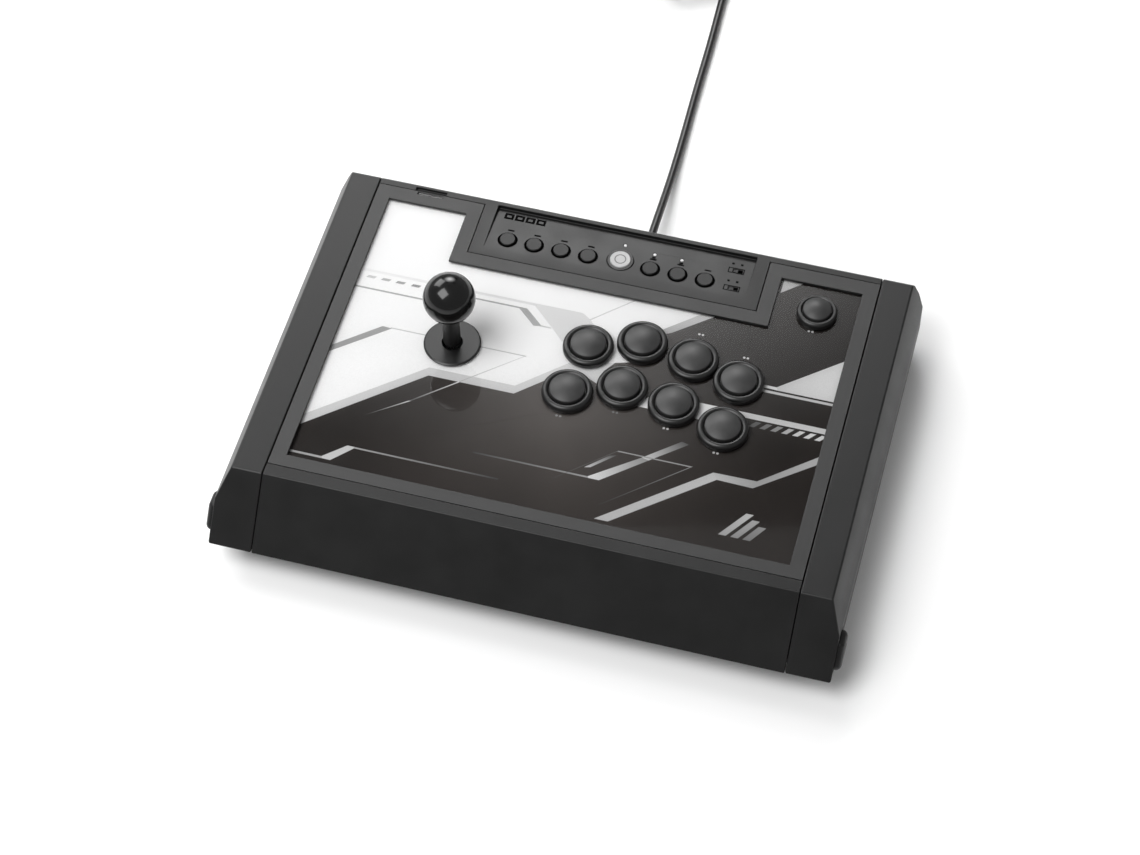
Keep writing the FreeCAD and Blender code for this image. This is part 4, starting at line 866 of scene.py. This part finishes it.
# a print is one flat mesh: outlines are cut against each other and the last one on top wins
def printMesh(name, look, shapes, cuts, heightAt):
    corners, loops = [], []
    for outline in [outline for _, _, outline in shapes] + cuts:
        ordered = outline if area(outline) > 0 else outline[::-1]
        loops.append(list(range(len(corners), len(corners) + len(ordered))))
        corners += [Vector(p) for p in ordered]
    made = delaunay_2d_cdt(corners, [], loops, 1, 0.001)
    points, triangles, sources = made[0], made[2], made[5]
    build = bmesh.new()
    layer = build.loops.layers.float_color.new(look["layer"])
    spots = []
    for point in points:
        back = point.y + look["lift"]
        spots.append(build.verts.new((point.x * mm, back * mm, heightAt(back) * mm)))
    for triangle, owners in zip(triangles, sources):
        if not owners or max(owners) >= len(shapes):
            continue
        near, far, outline = shapes[max(owners)]
        start = (Vector(outline[0]) + Vector(outline[1])) / 2
        reach = max((Vector(p) - start).length for p in outline)
        face = build.faces.new([spots[i] for i in triangle])
        for loop, i in zip(face.loops, triangle):
            share = (points[i] - start).length / reach
            loop[layer] = shade(near + (far - near) * share)
    bmesh.ops.delete(build, geom=[v for v in build.verts if not v.link_faces], context="VERTS")
    mesh = bpy.data.meshes.new(name)
    build.to_mesh(mesh)
    build.free()
    return mesh


artShapes = printShapes(artPrint)
artMesh = printMesh("artInk", artPrint, artShapes, printHoles(artPrint), lambda y: artPrint["height"])
place("artInk", artMesh, "lid", "art_print", printInk)

# small plain marks on the console, which slopes down to the rear
menuRow = (-78, -59.1, -39.9, -20.7, 23.2, 42.5, 61.7)
consolePrint = {
    "layer": "ink", "lift": 0, "front": 103.25, "top": 63.03, "fall": 3 / 38.7, "ink": 0.02,
    "markRow": 122.6, "mark": (4.6, 1.4),
    "lensMarks": ((23.2, 124.2), (42.5, 124.2)), "lensMark": (2.6, 1.6),
    "switches": ((75.2, 109.3, 11.4, 5.0), (74.8, 125.8, 11.4, 5.0)), "line": 0.7,
    "holes": [(x, 114.05, 6.5) for x in menuRow] + [(1.7, 116.25, 9.1)], "collar": 0.5,
    "switchDots": ((76.5, 117.4), (82.6, 117.4), (76.2, 133.6), (82.4, 133.6)), "dot": 1.7,
    "plate": (-86.2, 133.2, 30.5, 5.4), "plateParts": 4, "plateLine": 1.7, "plateGap": 1.0,
}


def bar(x, y, width, height, tone):
    return (tone, tone, [(x, y), (x + width, y), (x + width, y + height), (x, y + height)])


def outlined(x, y, width, height, line, tone):
    return [
        bar(x, y, width, line, tone), bar(x, y + height - line, width, line, tone),
        bar(x, y, line, height, tone), bar(x + width - line, y, line, height, tone),
    ]


def consoleShapes(look):
    ink = look["ink"]
    shapes = [(ink, ink, ring(x, y, hole + look["collar"])) for x, y, hole in look["holes"]]
    for x in menuRow:
        shapes.append(bar(x - look["mark"][0] / 2, look["markRow"], *look["mark"], ink))
    for x, y in look["lensMarks"]:
        shapes.append(bar(x - look["lensMark"][0] / 2, y, *look["lensMark"], ink))
    for box in look["switches"]:
        shapes += outlined(*box, look["line"], ink)
    for x, y in look["switchDots"]:
        shapes.append(bar(x, y, look["dot"], look["dot"], ink))
    x, y, width, height = look["plate"]
    step = width / look["plateParts"]
    for k in range(look["plateParts"]):
        shapes += outlined(x + k * step, y, step - look["plateGap"], height, look["plateLine"], ink)
    return shapes


def consoleHeight(y):
    return consolePrint["top"] - max(0.0, y - consolePrint["front"]) * consolePrint["fall"]


consoleCuts = [ring(x, y, hole) for x, y, hole in consolePrint["holes"]]
consoleMesh = printMesh("consoleMarks", consolePrint, consoleShapes(consolePrint), consoleCuts, consoleHeight)
place("consoleMarks", consoleMesh, "lid", "case_plastic", darkInk)

# a plain ring on the white button, where the real one carries a badge
homeMark = {"spot": (1.7, 116.25), "height": 63.7, "inner": 3.3, "outer": 4.1, "tone": 0.35, "steps": 48}
homeRing = [(homeMark["inner"], homeMark["height"]), (homeMark["outer"], homeMark["height"])]
homeMesh = turned("homeMark", homeRing, (*homeMark["spot"], 0), steps=homeMark["steps"])
inkLayer = homeMesh.color_attributes.new("ink", "FLOAT_COLOR", "CORNER")
for item in inkLayer.data:
    item.color = shade(homeMark["tone"])
place("homeMark", homeMesh, "home_button", "home_white", printInk)
print("sheet printed")

# floor and light: a pale floor, a low even sky, two plain softboxes and one with soft edges behind
studio = {
    "floorTone": (0.93, 0.93, 0.93, 1), "floorSize": 12.0, "floorPatch": 0.97, "floorDrop": 0.0002,
    "sky": 0.36,
    "lamps": [  # (spot, width, height, watts)
        ((-0.8, -0.8, 2.1), 1.5, 1.4, 44),
        ((-1.6, 1.1, 1.5), 1.2, 1.2, 22),
    ],
    "glow": {"spot": (-0.5, 1.9, 1.56), "size": 1.9, "reach": 0.9, "fading": 1.6, "strength": 16.0},
}


def faceTowards(holder, spot):
    holder.location = spot
    holder.rotation_euler = (-Vector(spot)).to_track_quat("-Z", "Y").to_euler()
    holder.visible_camera = False
    bpy.context.scene.collection.objects.link(holder)


def sheetMesh(name, size, finish):
    half = size / 2
    mesh = bpy.data.meshes.new(name)
    corners = [(-half, -half, 0), (half, -half, 0), (half, half, 0), (-half, half, 0)]
    mesh.from_pydata(corners, [], [(0, 1, 2, 3)])
    mesh.materials.append(finish)
    return mesh


def floorFinish(name, look):
    finish, tree, shader, where = newFinish(name)
    patch = spread(tree, noise(tree, where, 3.0), 0.0, 1.0)
    low = [c * look["floorPatch"] for c in look["floorTone"][:3]] + [1]
    tree.links.new(tint(tree, patch, look["floorTone"], low), shader.inputs["Base Color"])
    tree.links.new(spread(tree, patch, 0.6, 0.7, 0.0, 1.0), shader.inputs["Roughness"])
    return finish


def glowFinish(name, look):
    finish, tree, shader, where = newFinish(name)
    tree.nodes.remove(shader)
    lampFace = tree.nodes.new("ShaderNodeEmission")
    away = tree.nodes.new("ShaderNodeVectorMath")
    away.operation = "LENGTH"
    tree.links.new(where, away.inputs[0])
    share = spread(tree, away.outputs["Value"], 1.0, 0.0, 0.0, look["reach"])
    fading = sums(tree, "POWER", share, look["fading"])
    tree.links.new(sums(tree, "MULTIPLY", fading, look["strength"]), lampFace.inputs["Strength"])
    tree.links.new(lampFace.outputs[0], tree.nodes["Material Output"].inputs["Surface"])
    return finish


floorMesh = sheetMesh("studioFloor", studio["floorSize"], floorFinish("studioFloor", studio))
studioFloor = bpy.data.objects.new("studioFloor", floorMesh)
studioFloor.location.z = -studio["floorDrop"]
bpy.context.scene.collection.objects.link(studioFloor)
glow = studio["glow"]
glowMesh = sheetMesh("glowPanel", glow["size"], glowFinish("softGlow", glow))
glowPanel = bpy.data.objects.new("glowPanel", glowMesh)
faceTowards(glowPanel, glow["spot"])
for k, (spot, width, height, watts) in enumerate(studio["lamps"]):
    lamp = bpy.data.lights.new("softbox%d" % k, "AREA")
    lamp.shape = "RECTANGLE"
    lamp.size, lamp.size_y, lamp.energy = width, height, watts
    faceTowards(bpy.data.objects.new("softbox%d" % k, lamp), spot)

sky = bpy.data.worlds.new("studioSky")
sky.use_nodes = True
sky.node_tree.nodes["Background"].inputs["Color"].default_value = (1, 1, 1, 1)
sky.node_tree.nodes["Background"].inputs["Strength"].default_value = studio["sky"]
bpy.context.scene.world = sky
bpy.context.scene.view_settings.view_transform = "Standard"
print("studio lit")
